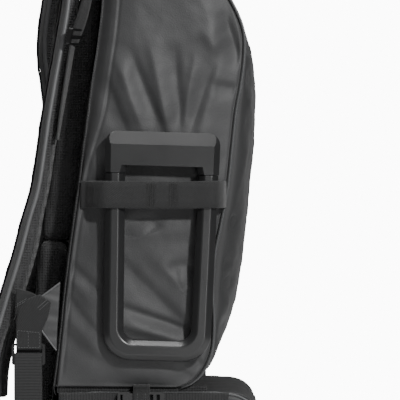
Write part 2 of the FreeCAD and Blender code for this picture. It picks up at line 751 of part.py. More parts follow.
def make_side_loop(bag):
    """Rigid two-part loop: bow below, crossbar cap above."""
    leg = bag.dim("loop_leg_width")
    split = 65.0
    low = -102.5
    high = 102.3
    body = bag.body("side_loop_bow", loop_placement(bag))
    a = taper(bag, split)
    b = taper(bag, low)
    points = [
        (-a, split - 0.15), (-b, low), (b, low), (a, split - 0.15),
        (a - leg, split - 0.15), (b - leg, low + 18.5), (-b + leg, low + 18.5), (-a + leg, split - 0.15),
    ]
    sk = sketch(body, "ring", "YZ_Plane", rounded_polygon(points, [0, 25, 25, 0, 0, 11, 11, 0]))
    bar = pad(body, sk, "Dims.loop_thick", reverse=True)
    bag.doc.recompute()
    bevel_face(bag, body, bar, split - 0.15)
    body = bag.body("side_loop_crossbar", loop_placement(bag))
    c = taper(bag, high) + 0.4
    d = taper(bag, split) + 0.4
    points = [
        (-c, high), (-d, split), (-d + leg + 0.8, split), (-c + leg + 3.0, high - 30.4),
        (c - leg - 3.0, high - 30.4), (d - leg - 0.8, split), (d, split), (c, high),
    ]
    sk = sketch(body, "cap", "YZ_Plane", rounded_polygon(points, [11, 0, 0, 0, 0, 0, 0, 11]))
    bar = pad(body, sk, "Dims.loop_thick + 0.6", reverse=True)
    bag.doc.recompute()
    bevel_face(bag, body, bar, split, high - 30.4)
    face = -bag.dim("loop_thick") - 0.6
    wedge = polygon([(face - 1.4, high - 14.34), (face - 1.4, high + 1.0), (face + 6.73, high + 1.0)])
    pocket(body, sketch(body, "top_slope", "XZ_Plane", wedge), "20 * Dims.loop_thick", midplane=True)


def bevel_face(bag, body, bar, split, plain=None):
    """Roof-shaped bevel on the edges of the loop's face, leaving the one at height plain."""
    shape = bar.Shape
    box = shape.BoundBox
    outer_x = box.XMin

    def on_face(edge):
        inside = abs(edge.BoundBox.XMin - outer_x) < 1e-3 and abs(edge.BoundBox.XMax - outer_x) < 1e-3
        level = [z for z in (split, plain) if z is not None]
        flat_end = any(
            abs(edge.BoundBox.ZMin - z) < 1e-3 and abs(edge.BoundBox.ZMax - z) < 1e-3 for z in level
        )
        return inside and not flat_end

    feature = body.newObject("PartDesign::Chamfer", body.Name + "_bevel")
    feature.Base = (bar, edges_where(shape, on_face))
    feature.Size = 5.2
    return feature


def make_side_straps(bag):
    """Cross straps of the gussets; the left one holds the loop."""
    inner = bag.dim("half_width") + 0.4
    face = -bag.dim("loop_back_x") + bag.dim("loop_thick") + 1.9
    z = 293.0
    points = [
        (-inner - 0.6, 71.0, z), (-inner - 3.0, 66.0, z), (-face + 7.0, 57.5, z), (-face, 50.0, z),
        (-face, 30.0, z), (-face, 0.0, z), (-face, -30.0, z), (-face, -48.0, z),
        (-face + 9.0, -55.5, z), (-inner - 2.8, -58.6, z),
    ]
    strap = ribbon(points, [(0, 0, 1)] * 10, bag.dim("webbing_width") - 0.6, bag.dim("webbing_thick"), 30)
    bag.feature("side_strap_left", strap)
    keeper = bag.body("side_strap_keeper", FreeCAD.Placement(V(-face + 1.3, 0, z), rot_x(0)))
    outline = rounded_polygon([(-15.5, -11.8), (12.5, -11.8), (12.5, 11.8), (-15.5, 11.8)], [1.0] * 4)
    pad(keeper, sketch(keeper, "outline", "YZ_Plane", outline), "-Dims.loop_back_x + Dims.loop_thick - Dims.half_width - 1.1")
    w = bag.dim("webbing_width") / 2.0
    outline = polygon([(-56.4, z - w), (72.0, z - w), (72.0, z + w), (-60.2, z + w)])
    plate_yz(bag, "side_strap_right", inner, 1, outline, "Dims.webbing_thick")


def make_shoulder_straps(bag):
    """Padded shoulder straps and the webbing stitched down their faces."""
    thick = bag.dim("strap_thick")
    for sign in (-1, 1):
        slack = [0.0 if sign < 0 else s for s in STRAP_SLACK]
        points = [(sign * p[0], p[1] + s, p[2]) for p, s in zip(STRAP_LINE, slack)]
        factors = [p[3] for p in STRAP_LINE]
        across = [(1, 0, 0)] * len(points)
        strap = ribbon(points, across, bag.dim("strap_width"), thick, 30, factors, 5.0)
        bag.feature("shoulder_strap_" + side_name(sign), strap)
        outward = []
        for i in range(3, len(STRAP_LINE) - 1):
            a = points[i - 1]
            b = points[i + 1]
            dy = b[1] - a[1]
            dz = b[2] - a[2]
            size = math.hypot(dy, dz)
            reach = thick * STRAP_LINE[i][3] / 2.0 + 1.6
            p = points[i]
            outward.append((p[0], p[1] - dz / size * reach, p[2] + dy / size * reach))
        web = ribbon(outward, [(1, 0, 0)] * len(outward), bag.dim("webbing_width"), 1.4, 26)
        bag.feature("shoulder_webbing_" + side_name(sign), web)


def make_load_lifters(bag):
    """Lifter webbing from the top of the bag to a small ladder lock on the strap."""
    for sign in (-1, 1):
        name = side_name(sign)
        slack = 1.0 if sign > 0 else 0.0
        points = [
            (sign * 136.0, 54.0, 520.0), (sign * 135.0, 58.5 + 8.0 * slack, 500.0),
            (sign * 133.0, 66.5 + 19.0 * slack, 468.0), (sign * 132.0, 73.0 + 23.5 * slack, 446.0),
        ]
        across = [(1, 0.25 * sign, 0), (1, 0.3 * sign, 0), (1, 0.5 * sign, 0), (1, 0.6 * sign, 0)]
        upper = bag.loose("lifter_upper_" + name, ribbon(points, across, 18.0, 1.3, 12))
        place = FreeCAD.Placement(
            V(sign * 131.0, 77.0 + 23.5 * slack, 436.0),
            FreeCAD.Rotation(V(0, 0, 1), 28.0 * sign).multiply(rot_x(14.0)),
        )
        make_ladder_lock(bag, "lifter_buckle_" + name, place, 22.0, 15.0, 4.0)
        points = [
            (sign * 130.5, 80.0 + 22.0 * slack, 425.5), (sign * 131.0, 84.0 + 14.0 * slack, 400.0),
            (sign * 132.0, 89.0 + 4.0 * slack, 370.0),
            (sign * 133.0, 93.0, 342.0),
        ]
        across = [(1, share * sign, 0) for share in (0.26, 0.22, 0.16, 0.08)]
        tail = bag.loose("lifter_tail_" + name, ribbon(points, across, 16.0, 1.2, 12))
        bag.group("lifter_webbing_" + name, [upper, tail])


def make_ladder_lock(bag, label, place, width, height, thick):
    """Three-bar buckle with two webbing slots."""
    body = bag.body(label, place)
    w = width / 2.0
    h = height / 2.0
    outline = rounded_polygon([(-w, -h), (w, -h), (w, h), (-w, h)], [2.0] * 4)
    first = pad(body, sketch(body, "frame", "XZ_Plane", outline), "Dims.buckle_thick * %.4f" % (thick / 8.0), midplane=True)
    slots = []
    gap = (height - 6.0) / 2.0
    for base in (-h + 1.8, h - 1.8 - gap):
        slots += polygon([(-w + 2.4, base), (w - 2.4, base), (w - 2.4, base + gap), (-w + 2.4, base + gap)])
    pocket(body, sketch(body, "slots", "XZ_Plane", slots), "Dims.buckle_thick + 4", midplane=True)
    return first


def make_lower_harness(bag):
    """Strap wings in the back seams, their webbing, adjusters and loose tails."""
    half = bag.dim("half_width")
    for sign in (-1, 1):
        name = side_name(sign)
        wing = rounded_polygon([(89.5, 214.0), (108.0, 200.0), (108.0, 172.0), (93.0, 152.0)], [0, 3, 3, 0])
        plate_yz(bag, "strap_wing_" + name, half - 2.0, sign, wing, "Dims.panel_thick")
        web = rounded_polygon(
            [(98.0, 197.0), (107.0, 203.0), (126.0, 195.0), (129.5, 172.0), (129.5, 153.4),
             (106.5, 153.4), (106.5, 170.0)],
            [0, 2, 3, 3, 0.8, 0.8, 0],
        )
        upper = plate_yz(bag, "wing_webbing_" + name, half + 0.3, sign, web, "Dims.webbing_thick", False)
        place = FreeCAD.Placement(V(sign * (half - 2.4), 118.5, 149.0), FreeCAD.Rotation(V(0, 0, 1), 90))
        make_ladder_lock(bag, "adjuster_" + name, place, 30.0, 19.0, 4.4)
        tail = rounded_polygon([(106.0, 34.0), (131.0, 34.0), (131.5, 150.2), (106.5, 150.2)], [2, 2, 0.5, 0.5])
        lower = plate_yz(bag, "strap_tail_" + name, half + 0.3, sign, tail, "Dims.webbing_thick", False)
        bag.group("harness_webbing_" + name, [upper, lower])
        points = [
            (sign * 112.0, 153.0, 93.0), (sign * 112.0, 145.0, 74.0), (sign * 115.0, 132.0, 66.0),
            (sign * 121.0, 122.0, 74.0), (sign * 129.0, 118.3, 92.0), (sign * 138.0, 118.3, 114.0),
            (sign * 143.0, 118.5, 138.0),
        ]
        across = [
            (1, 0, 0), (1, 0, 0), (0.98, 0.15 * sign, 0), (0.9, 0.4 * sign, 0),
            (0.6, 0.8 * sign, 0), (0.25, 0.97 * sign, 0), (0, sign, 0),
        ]
        bag.feature("lower_webbing_" + name, ribbon(points, across, 24.0, 1.4, 26))


def make_handle(bag):
    """Grab handle on the back's top edge and its two fixed loops."""
    place = FreeCAD.Placement(V(0, bag.dim("handle_axis_y"), bag.dim("handle_axis_z")), rot_x(0))
    half = bag.dim("handle_half_width")
    drop = bag.dim("handle_drop")
    body = bag.body("grab_handle", place)
    points = [
        (-half, -1.0), (-half + 4.0, -drop), (half - 4.0, -drop), (half, -1.0),
        (half - 13.0, -1.0), (half - 15.0, -drop + 11.0), (-half + 15.0, -drop + 11.0), (-half + 13.0, -1.0),
    ]
    outline = rounded_polygon(points, [1.0, 14.0, 14.0, 1.0, 1.0, 5.0, 5.0, 1.0])
    grip = pad(body, sketch(body, "bow", "XZ_Plane", outline), "Dims.handle_thick", midplane=True)
    for sign in (-1, 1):
        knuckle = sketch(body, "eye_" + side_name(sign), "YZ_Plane", [circle(0, 0, 2.6)], sign * (half - 6.5))
        pad(body, knuckle, "13 + 0 * Dims.handle_thick", midplane=True)
    anchors = []
    for sign in (-1, 1):
        box = bag.doc.addObject("Part::Box", "HandleAnchor")
        box.setExpression("Length", "15 + 0 * Dims.handle_thick")
        box.setExpression("Width", "Dims.handle_thick - 1")
        box.setExpression("Height", "Dims.handle_thick + 1.5")
        box.Placement = FreeCAD.Placement(V(sign * (half - 6.5) - 7.5, 52.4, bag.dim("handle_axis_z") + 3.1), rot_x(0))
        anchors.append(box)
    bag.group("handle_anchors", anchors)


def check_and_export(bag):
    bag.doc.recompute()
    problems = []
    for obj in bag.doc.Objects:
        if "Invalid" in obj.State or "Error" in obj.State:
            problems.append(obj.Name + " " + ",".join(obj.State))
    os.makedirs("parts", exist_ok=True)
    for node in bag.nodes:
        shape = node.Shape
        if shape.isNull() or not shape.isValid() or not shape.Solids:
            problems.append(node.Label + " has no valid solid")
            continue
        shape.exportStep("parts/" + node.Label + ".step")
    if problems:
        raise RuntimeError("; ".join(problems))
    print(len(bag.nodes), "nodes")


def main():
    bag = Bag()
    make_side_panels(bag)
    make_front_panel(bag)
    make_bottom_panel(bag)
    make_back(bag)
    make_piping(bag)
    make_mouth_tapes(bag)
    make_lid(bag)
    make_lid_sliders(bag)
    make_base_shell(bag)
    make_feet(bag)
    make_base_flap(bag)
    for sign in (-1, 1):
        make_buckle(bag, sign)
    make_base_belts(bag)
    make_side_loop(bag)
    make_side_straps(bag)
    make_shoulder_straps(bag)
    make_load_lifters(bag)
    make_lower_harness(bag)
    make_handle(bag)
    check_and_export(bag)


main()
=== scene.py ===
import math

import bmesh
import bpy
import numpy as np
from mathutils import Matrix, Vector, noise


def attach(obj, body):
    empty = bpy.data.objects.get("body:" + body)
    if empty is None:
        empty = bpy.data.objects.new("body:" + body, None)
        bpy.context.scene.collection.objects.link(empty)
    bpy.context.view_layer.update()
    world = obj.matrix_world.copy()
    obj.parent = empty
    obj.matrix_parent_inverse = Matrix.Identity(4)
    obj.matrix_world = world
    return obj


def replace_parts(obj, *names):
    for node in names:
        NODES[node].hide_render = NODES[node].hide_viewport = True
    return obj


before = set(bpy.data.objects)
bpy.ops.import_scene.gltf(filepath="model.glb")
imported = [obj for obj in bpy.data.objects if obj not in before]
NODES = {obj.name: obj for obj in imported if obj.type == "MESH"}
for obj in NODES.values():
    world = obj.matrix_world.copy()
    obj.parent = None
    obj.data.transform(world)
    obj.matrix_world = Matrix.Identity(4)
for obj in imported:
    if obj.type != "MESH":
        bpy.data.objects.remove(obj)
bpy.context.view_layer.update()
MM = 0.001

# ---------------------------------------------------------------- outlines, mm

FRONT_SEAM = [
    (-44.6, 513.0), (-52.0, 494.0), (-60.5, 474.0), (-70.0, 455.0), (-74.8, 440.0),
    (-75.5, 420.0), (-72.0, 391.0), (-68.0, 369.0), (-65.0, 342.0), (-60.0, 297.0),
    (-54.0, 265.0), (-49.0, 240.0), (-47.0, 206.0), (-48.0, 180.0), (-46.0, 152.0),
    (-37.0, 132.0), (-27.0, 123.0), (-18.0, 119.5),
]
FRONT_MIDDLE = [
    (-46.0, 513.0), (-54.5, 494.0), (-64.0, 474.0), (-72.0, 455.0), (-79.0, 436.0),
    (-84.0, 418.0), (-87.0, 391.0), (-87.0, 369.0), (-86.5, 342.0), (-82.0, 297.0),
    (-79.0, 270.0), (-76.0, 243.0), (-70.5, 205.0), (-64.5, 181.0), (-52.0, 151.0),
    (-40.0, 131.0), (-28.0, 121.5), (-18.0, 119.5),
]
BACK_LINE = [
    (96.0, 120.0), (91.0, 160.0), (87.0, 200.0), (81.5, 245.0), (75.0, 290.0),
    (68.5, 342.0), (61.5, 396.0), (55.0, 440.0), (51.5, 480.0), (50.0, 526.0),
]
STRAP_LINE = [
    (84.0, 56.0, 500.0, 0.45), (84.5, 60.0, 512.0, 0.55), (85.0, 69.0, 519.0, 0.75),
    (86.0, 78.0, 511.0, 0.95), (88.0, 82.0, 494.0, 1.0), (90.0, 82.8, 468.0, 1.0),
    (93.0, 88.3, 432.0, 1.0), (96.0, 94.6, 396.0, 1.0), (99.0, 100.5, 360.0, 1.0),
    (101.0, 105.0, 328.0, 1.0), (103.5, 110.0, 297.0, 1.0), (106.0, 118.0, 269.0, 1.0),
    (108.0, 126.0, 238.0, 1.0), (109.5, 136.0, 205.0, 1.0), (110.5, 144.0, 178.0, 1.0),
    (111.5, 152.0, 150.0, 0.95), (112.0, 156.5, 122.0, 0.85), (112.0, 156.0, 98.0, 0.6),
]
HALF = 150.0
BASE_HALF = 155.0
HINGE = (50.0, 534.0)
MOUTH_TILT = math.radians(6.0)
MOUTH_LENGTH = 96.0
FLAP_HINGE = (-96.0, 14.0)
FLAP_TILT = math.radians(-5.0)


# ---------------------------------------------------------------- lines

def smooth_line(points, count):
    """Points evenly spaced along a rounded line through the given ones."""
    pts = np.array(points, float)
    padded = np.vstack([2 * pts[0] - pts[1], pts, 2 * pts[-1] - pts[-2]])
    fine = []
    for i in range(1, len(padded) - 2):
        p0, p1, p2, p3 = padded[i - 1:i + 3]
        t0 = 0.0
        t1 = t0 + max(np.linalg.norm(p1 - p0), 1e-6) ** 0.5
        t2 = t1 + max(np.linalg.norm(p2 - p1), 1e-6) ** 0.5
        t3 = t2 + max(np.linalg.norm(p3 - p2), 1e-6) ** 0.5
        for t in np.linspace(t1, t2, 17)[:-1]:
            a1 = (t1 - t) / (t1 - t0) * p0 + (t - t0) / (t1 - t0) * p1
            a2 = (t2 - t) / (t2 - t1) * p1 + (t - t1) / (t2 - t1) * p2
            a3 = (t3 - t) / (t3 - t2) * p2 + (t - t2) / (t3 - t2) * p3
            b1 = (t2 - t) / (t2 - t0) * a1 + (t - t0) / (t2 - t0) * a2
            b2 = (t3 - t) / (t3 - t1) * a2 + (t - t1) / (t3 - t1) * a3
            fine.append((t2 - t) / (t2 - t1) * b1 + (t - t1) / (t2 - t1) * b2)
    fine.append(pts[-1])
    fine = np.array(fine)
    steps = np.linalg.norm(np.diff(fine[:, :3], axis=0), axis=1)
    where = np.concatenate([[0.0], np.cumsum(steps)])
    wanted = np.linspace(0.0, where[-1], count)
    return np.column_stack([np.interp(wanted, where, fine[:, k]) for k in range(pts.shape[1])])


def lengths(line):
    return np.concatenate([[0.0], np.cumsum(np.linalg.norm(np.diff(line[:, :3], axis=0), axis=1))])


def smoothstep(a, b, x):
    t = np.clip((np.asarray(x, float) - a) / (b - a), 0.0, 1.0)
    return t * t * (3.0 - 2.0 * t)


def ripple(points, size, seed, octaves=2):
    """Smooth repeatable noise at points in mm."""
    shift = Vector((seed * 17.3, seed * 5.1, seed * 9.7))
    out = np.empty(len(points))
    for i, p in enumerate(points):
        out[i] = noise.fractal(Vector(p) / size + shift, 1.0, 2.0, octaves)
    return out


# ---------------------------------------------------------------- meshes

def finish_mesh(name, verts, faces, body, material, uv=None, smooth=True):
    mesh = bpy.data.meshes.new(name)
    mesh.from_pydata([tuple(v) for v in np.asarray(verts, float) * MM], [], faces)
    if uv is not None:
        layer = mesh.uv_layers.new(name="UVMap")
        loops = np.empty(len(mesh.loops), int)
        mesh.loops.foreach_get("vertex_index", loops)
        layer.data.foreach_set("uv", (np.asarray(uv, float)[loops] * MM).ravel())
    mesh.validate()
    fixer = bmesh.new()
    fixer.from_mesh(mesh)
    bmesh.ops.recalc_face_normals(fixer, faces=fixer.faces)
    fixer.to_mesh(mesh)
    fixer.free()
    if smooth:
        mesh.polygons.foreach_set("use_smooth", [True] * len(mesh.polygons))
    obj = bpy.data.objects.new(name, mesh)
    bpy.context.scene.collection.objects.link(obj)
    obj.data.materials.append(material)
    if body:
        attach(obj, body)
    return obj


def grid_faces(nu, nv, close_u=False, close_v=False):
    faces = []
    for i in range(nu if close_u else nu - 1):
        for j in range(nv if close_v else nv - 1):
            a = i * nv + j
            b = ((i + 1) % nu) * nv + j
            c = ((i + 1) % nu) * nv + (j + 1) % nv
            d = i * nv + (j + 1) % nv
            faces.append((a, b, c, d))
    return faces


def sheet_solid(name, outer, inner, body, material, uv=None):
    """Closed thin solid between two matching grids."""
    nu, nv = outer.shape[:2]
    count = nu * nv
    verts = np.vstack([outer.reshape(-1, 3), inner.reshape(-1, 3)])
    faces = grid_faces(nu, nv)
    faces += [tuple(reversed([k + count for k in f])) for f in grid_faces(nu, nv)]
    rim = [i * nv for i in range(nu)]
    rim += [(nu - 1) * nv + j for j in range(1, nv)]
    rim += [i * nv + nv - 1 for i in range(nu - 2, -1, -1)]
    rim += [j for j in range(nv - 2, 0, -1)]
    for k, a in enumerate(rim):
        b = rim[(k + 1) % len(rim)]
        faces.append((a, a + count, b + count, b))
    if uv is not None:
        uv = np.vstack([uv.reshape(-1, 2)] * 2)
    return finish_mesh(name, verts, faces, body, material, uv)


def tube(name, line, radius, body, material, sides=10, squash=1.0, normal=None):
    """Round bead along a line; radius may be a number or one per point."""
    line = np.asarray(line, float)
    radii = np.broadcast_to(np.asarray(radius, float), (len(line),))
    tangents = np.gradient(line, axis=0)
    tangents /= np.linalg.norm(tangents, axis=1)[:, None]
    ref = np.array(normal if normal is not None else (0.0, 0.0, 1.0), float)
    if normal is None and abs(tangents[len(line) // 2] @ ref) > 0.9:
        ref = np.array((1.0, 0.0, 0.0))
    verts = []
    for p, t, r in zip(line, tangents, radii):
        side = np.cross(t, ref)
        side /= np.linalg.norm(side)
        up = np.cross(side, t)
        for k in range(sides):
            a = 2 * math.pi * k / sides
            verts.append(p + side * math.cos(a) * r + up * math.sin(a) * r * squash)
    faces = grid_faces(len(line), sides, close_v=True)
    faces.append(tuple(range(sides))[::-1])
    faces.append(tuple((len(line) - 1) * sides + k for k in range(sides)))
    return finish_mesh(name, verts, faces, body, material)


def ribbon(name, points, across, width, thick, body, material, count=60, fold=0.0, seed=0):
    """Webbing: rounded-edge strip along a line, lying across the given direction."""
    data = [tuple(p) + tuple(a) for p, a in zip(points, across)]
    line = smooth_line(data, count)
    centre = line[:, :3]
    tangent = np.gradient(centre, axis=0)
    tangent /= np.linalg.norm(tangent, axis=1)[:, None]
    side = line[:, 3:]
    side = side - tangent * np.sum(side * tangent, axis=1)[:, None]
    side /= np.linalg.norm(side, axis=1)[:, None]
    normal = np.cross(tangent, side)
    run = lengths(centre)
    w = width / 2.0
    t = thick / 2.0
    across_share = np.array([-1.0, -0.985, -0.93, -0.5, 0.0, 0.5, 0.93, 0.985, 1.0])
    lift = np.array([0.0, 0.6, 1.0, 1.0, 1.0, 1.0, 1.0, 0.6, 0.0])
    verts = []
    uvs = []
    for i in range(count):
        wave = 0.0
        if fold:
            wave = fold * math.sin(run[i] * 0.11 + seed)
        for a, h in zip(across_share, lift):
            verts.append(centre[i] + side[i] * a * w + normal[i] * (h * t + wave * (1 - a * a)))
            uvs.append((run[i], a * w))
        for a, h in list(zip(across_share, lift))[-2:0:-1]:
            verts.append(centre[i] + side[i] * a * w + normal[i] * (-h * t + wave * (1 - a * a)))
            uvs.append((run[i], a * w))
    ring = len(across_share) * 2 - 2
    faces = grid_faces(count, ring, close_v=True)
    faces.append(tuple(range(ring))[::-1])
    faces.append(tuple((count - 1) * ring + k for k in range(ring)))
    return finish_mesh(name, verts, faces, body, material, uvs)


def stitches(name, spots, body, material, size=(2.2, 0.55, 0.35)):
    """Short raised threads: each spot is (centre, along, out)."""
    verts = []
    faces = []
    for centre, along, out in spots:
        centre = np.array(centre, float)
        along = np.array(along, float)
        along /= np.linalg.norm(along)
        out = np.array(out, float)
        out -= along * (along @ out)
        out /= np.linalg.norm(out)
        side = np.cross(along, out)
        start = len(verts)
        for share, grow in ((-0.5, 0.45), (-0.3, 1.0), (0.3, 1.0), (0.5, 0.45)):
            for k in range(6):
                a = 2 * math.pi * k / 6
                verts.append(
                    centre + along * share * size[0]
                    + side * math.cos(a) * size[1] * 0.5 * grow
                    + out * (math.sin(a) * size[2] * grow)
                )
        for ring in range(3):
            for k in range(6):
                a = start + ring * 6 + k
                b = start + ring * 6 + (k + 1) % 6
                faces.append((a, b, b + 6, a + 6))
        faces.append(tuple(start + k for k in range(6))[::-1])
        faces.append(tuple(start + 18 + k for k in range(6)))
    return finish_mesh(name, verts, faces, body, material)


# ---------------------------------------------------------------- materials

def new_material(name):
    mat = bpy.data.materials.new(name)
    mat.use_nodes = True
    tree = mat.node_tree
    return mat, tree, tree.nodes["Principled BSDF"]


def node(tree, kind, **values):
    made = tree.nodes.new(kind)
    for key, value in values.items():
        setattr(made, key, value)
    return made


def math_node(tree, operation, a, b=None, clamp=False):
    made = node(tree, "ShaderNodeMath", operation=operation, use_clamp=clamp)
    for k, value in enumerate((a, b)):
        if value is None:
            continue
        if isinstance(value, (int, float)):
            made.inputs[k].default_value = value
        else:
            tree.links.new(value, made.inputs[k])
    return made.outputs[0]


def noise_node(tree, coords, scale, detail=2.0, rough=0.5):
    made = node(tree, "ShaderNodeTexNoise")
    made.inputs["Scale"].default_value = scale
    made.inputs["Detail"].default_value = detail
    made.inputs["Roughness"].default_value = rough
    tree.links.new(coords, made.inputs["Vector"])
    return made.outputs[0]


def colour_between(tree, share, low, high):
    ramp = node(tree, "ShaderNodeMix", data_type="RGBA")
    ramp.inputs["A"].default_value = (*low, 1)
    ramp.inputs["B"].default_value = (*high, 1)
    tree.links.new(share, ramp.inputs["Factor"])
    return ramp.outputs["Result"]


def bump_into(tree, shader, height, strength, distance):
    bump = node(tree, "ShaderNodeBump")
    bump.inputs["Strength"].default_value = strength
    bump.inputs["Distance"].default_value = distance
    tree.links.new(height, bump.inputs["Height"])
    tree.links.new(bump.outputs[0], shader.inputs["Normal"])


def scaled(colour, factor):
    return tuple(c * factor for c in colour)


def object_coords(tree):
    return node(tree, "ShaderNodeTexCoord").outputs["Object"]


def tarpaulin(name, colour, rough=0.5):
    """Coated fabric: satin skin, fine leathery grain, faint woven print-through."""
    mat, tree, shader = new_material(name)
    at = object_coords(tree)
    broad = noise_node(tree, at, 9.0, 3.0)
    fine = noise_node(tree, at, 620.0, 3.0, 0.6)
    cells = node(tree, "ShaderNodeTexVoronoi")
    cells.inputs["Scale"].default_value = 900.0
    tree.links.new(at, cells.inputs["Vector"])
    share = math_node(tree, "ADD", math_node(tree, "MULTIPLY", broad, 0.6), math_node(tree, "MULTIPLY", fine, 0.4))
    tree.links.new(colour_between(tree, share, scaled(colour, 0.84), scaled(colour, 1.16)), shader.inputs["Base Color"])
    tree.links.new(
        math_node(tree, "ADD", math_node(tree, "MULTIPLY", fine, 0.14), rough - 0.07),
        shader.inputs["Roughness"],
    )
    height = math_node(tree, "ADD", math_node(tree, "MULTIPLY", cells.outputs["Distance"], 0.6), fine)
    bump_into(tree, shader, height, 0.22, 0.0006)
    shader.inputs["Specular IOR Level"].default_value = 0.3
    shader.inputs["Sheen Weight"].default_value = 0.06
    shader.inputs["Sheen Roughness"].default_value = 0.4
    return mat


def webbing(name, colour, rib=1.35, rough=0.72, slant=1.4):
    """Woven strap: ribs with a chosen slant, fine cross picks, laid out by UV."""
    mat, tree, shader = new_material(name)
    uv = node(tree, "ShaderNodeUVMap", uv_map="UVMap").outputs[0]
    split = node(tree, "ShaderNodeSeparateXYZ")
    tree.links.new(uv, split.inputs[0])
    u, v = split.outputs[0], split.outputs[1]
    wave_a = math_node(tree, "SINE", math_node(tree, "ADD", math_node(tree, "MULTIPLY", u, 2 * math.pi / (rib * MM)), math_node(tree, "MULTIPLY", v, slant * math.pi / (rib * MM))))
    wave_b = math_node(tree, "SINE", math_node(tree, "MULTIPLY", v, 2 * math.pi / (1.1 * MM)))
    picks = math_node(tree, "MULTIPLY", math_node(tree, "ADD", wave_a, 1.0), 0.5)
    warp = math_node(tree, "MULTIPLY", math_node(tree, "ADD", wave_b, 1.0), 0.5)
    weave = math_node(tree, "ADD", math_node(tree, "MULTIPLY", picks, 0.65), math_node(tree, "MULTIPLY", warp, 0.35))
    fuzz = noise_node(tree, object_coords(tree), 1400.0, 2.0)
    tone = math_node(tree, "ADD", math_node(tree, "MULTIPLY", weave, 0.75), math_node(tree, "MULTIPLY", fuzz, 0.25))
    tree.links.new(colour_between(tree, tone, scaled(colour, 0.55), scaled(colour, 1.35)), shader.inputs["Base Color"])
    shader.inputs["Roughness"].default_value = rough
    bump_into(tree, shader, math_node(tree, "ADD", weave, math_node(tree, "MULTIPLY", fuzz, 0.3)), 0.6, 0.0005)
    shader.inputs["Sheen Weight"].default_value = 0.12
    shader.inputs["Specular IOR Level"].default_value = 0.3
    return mat


def mesh_fabric(name, colour, hole=2.4):
    """Padded spacer mesh: round openings in a soft dark knit."""
    mat, tree, shader = new_material(name)
    at = object_coords(tree)
    cells = node(tree, "ShaderNodeTexVoronoi")
    cells.inputs["Scale"].default_value = 1000.0 / hole
    cells.inputs["Randomness"].default_value = 0.25
    tree.links.new(at, cells.inputs["Vector"])
    holes = math_node(tree, "SUBTRACT", math_node(tree, "MULTIPLY", cells.outputs["Distance"], 2.2), 0.35, clamp=True)
    fuzz = noise_node(tree, at, 1500.0, 2.0)
    tone = math_node(tree, "ADD", math_node(tree, "MULTIPLY", holes, 0.8), math_node(tree, "MULTIPLY", fuzz, 0.2))
    tree.links.new(colour_between(tree, tone, scaled(colour, 0.35), scaled(colour, 1.5)), shader.inputs["Base Color"])
    shader.inputs["Roughness"].default_value = 0.85
    shader.inputs["Sheen Weight"].default_value = 0.1
    bump_into(tree, shader, holes, 0.7, 0.0009)
    return mat


def plastic(name, colour, rough=0.42, grain=1800.0, bump=0.05, wear=0.1):
    """Moulded plastic: fine spark texture, faint flow marks, paler rubbed edges."""
    mat, tree, shader = new_material(name)
    at = object_coords(tree)
    fine = noise_node(tree, at, grain, 2.0)
    broad = noise_node(tree, at, 26.0, 3.0)
    edge = node(tree, "ShaderNodeNewGeometry").outputs["Pointiness"]
    rub = math_node(tree, "MULTIPLY", math_node(tree, "SUBTRACT", edge, 0.52, clamp=True), 6.0, clamp=True)
    tone = math_node(tree, "ADD", math_node(tree, "MULTIPLY", broad, 0.7), math_node(tree, "MULTIPLY", rub, wear))
    tree.links.new(colour_between(tree, tone, scaled(colour, 0.9), scaled(colour, 1.18)), shader.inputs["Base Color"])
    tree.links.new(
        math_node(tree, "ADD", math_node(tree, "MULTIPLY", broad, 0.12), rough - 0.06),
        shader.inputs["Roughness"],
    )
    bump_into(tree, shader, fine, bump, 0.0004)
    shader.inputs["Specular IOR Level"].default_value = 0.5
    return mat


def rubber(name, colour, rough=0.62):
    mat, tree, shader = new_material(name)
    at = object_coords(tree)
    fine = noise_node(tree, at, 900.0, 3.0)
    tree.links.new(colour_between(tree, fine, scaled(colour, 0.8), scaled(colour, 1.25)), shader.inputs["Base Color"])
    shader.inputs["Roughness"].default_value = rough
    bump_into(tree, shader, fine, 0.15, 0.0004)
    return mat


def coil_zip(name, colour):
    """Coated zip tape with its coil showing as fine cross ribs near the join."""
    mat, tree, shader = new_material(name)
    uv = node(tree, "ShaderNodeUVMap", uv_map="UVMap").outputs[0]
    split = node(tree, "ShaderNodeSeparateXYZ")
    tree.links.new(uv, split.inputs[0])
    teeth = math_node(tree, "SINE", math_node(tree, "MULTIPLY", split.outputs[0], 2 * math.pi / (1.5 * MM)))
    near = math_node(tree, "LESS_THAN", split.outputs[1], 2.4 * MM)
    rib = math_node(tree, "MULTIPLY", math_node(tree, "ADD", teeth, 1.0), math_node(tree, "MULTIPLY", near, 0.5))
    fuzz = noise_node(tree, object_coords(tree), 1200.0, 2.0)
    tone = math_node(tree, "ADD", math_node(tree, "MULTIPLY", rib, 0.7), math_node(tree, "MULTIPLY", fuzz, 0.3))
    tree.links.new(colour_between(tree, tone, scaled(colour, 0.7), scaled(colour, 1.9)), shader.inputs["Base Color"])
    shader.inputs["Roughness"].default_value = 0.5
    bump_into(tree, shader, rib, 0.8, 0.0008)
    return mat


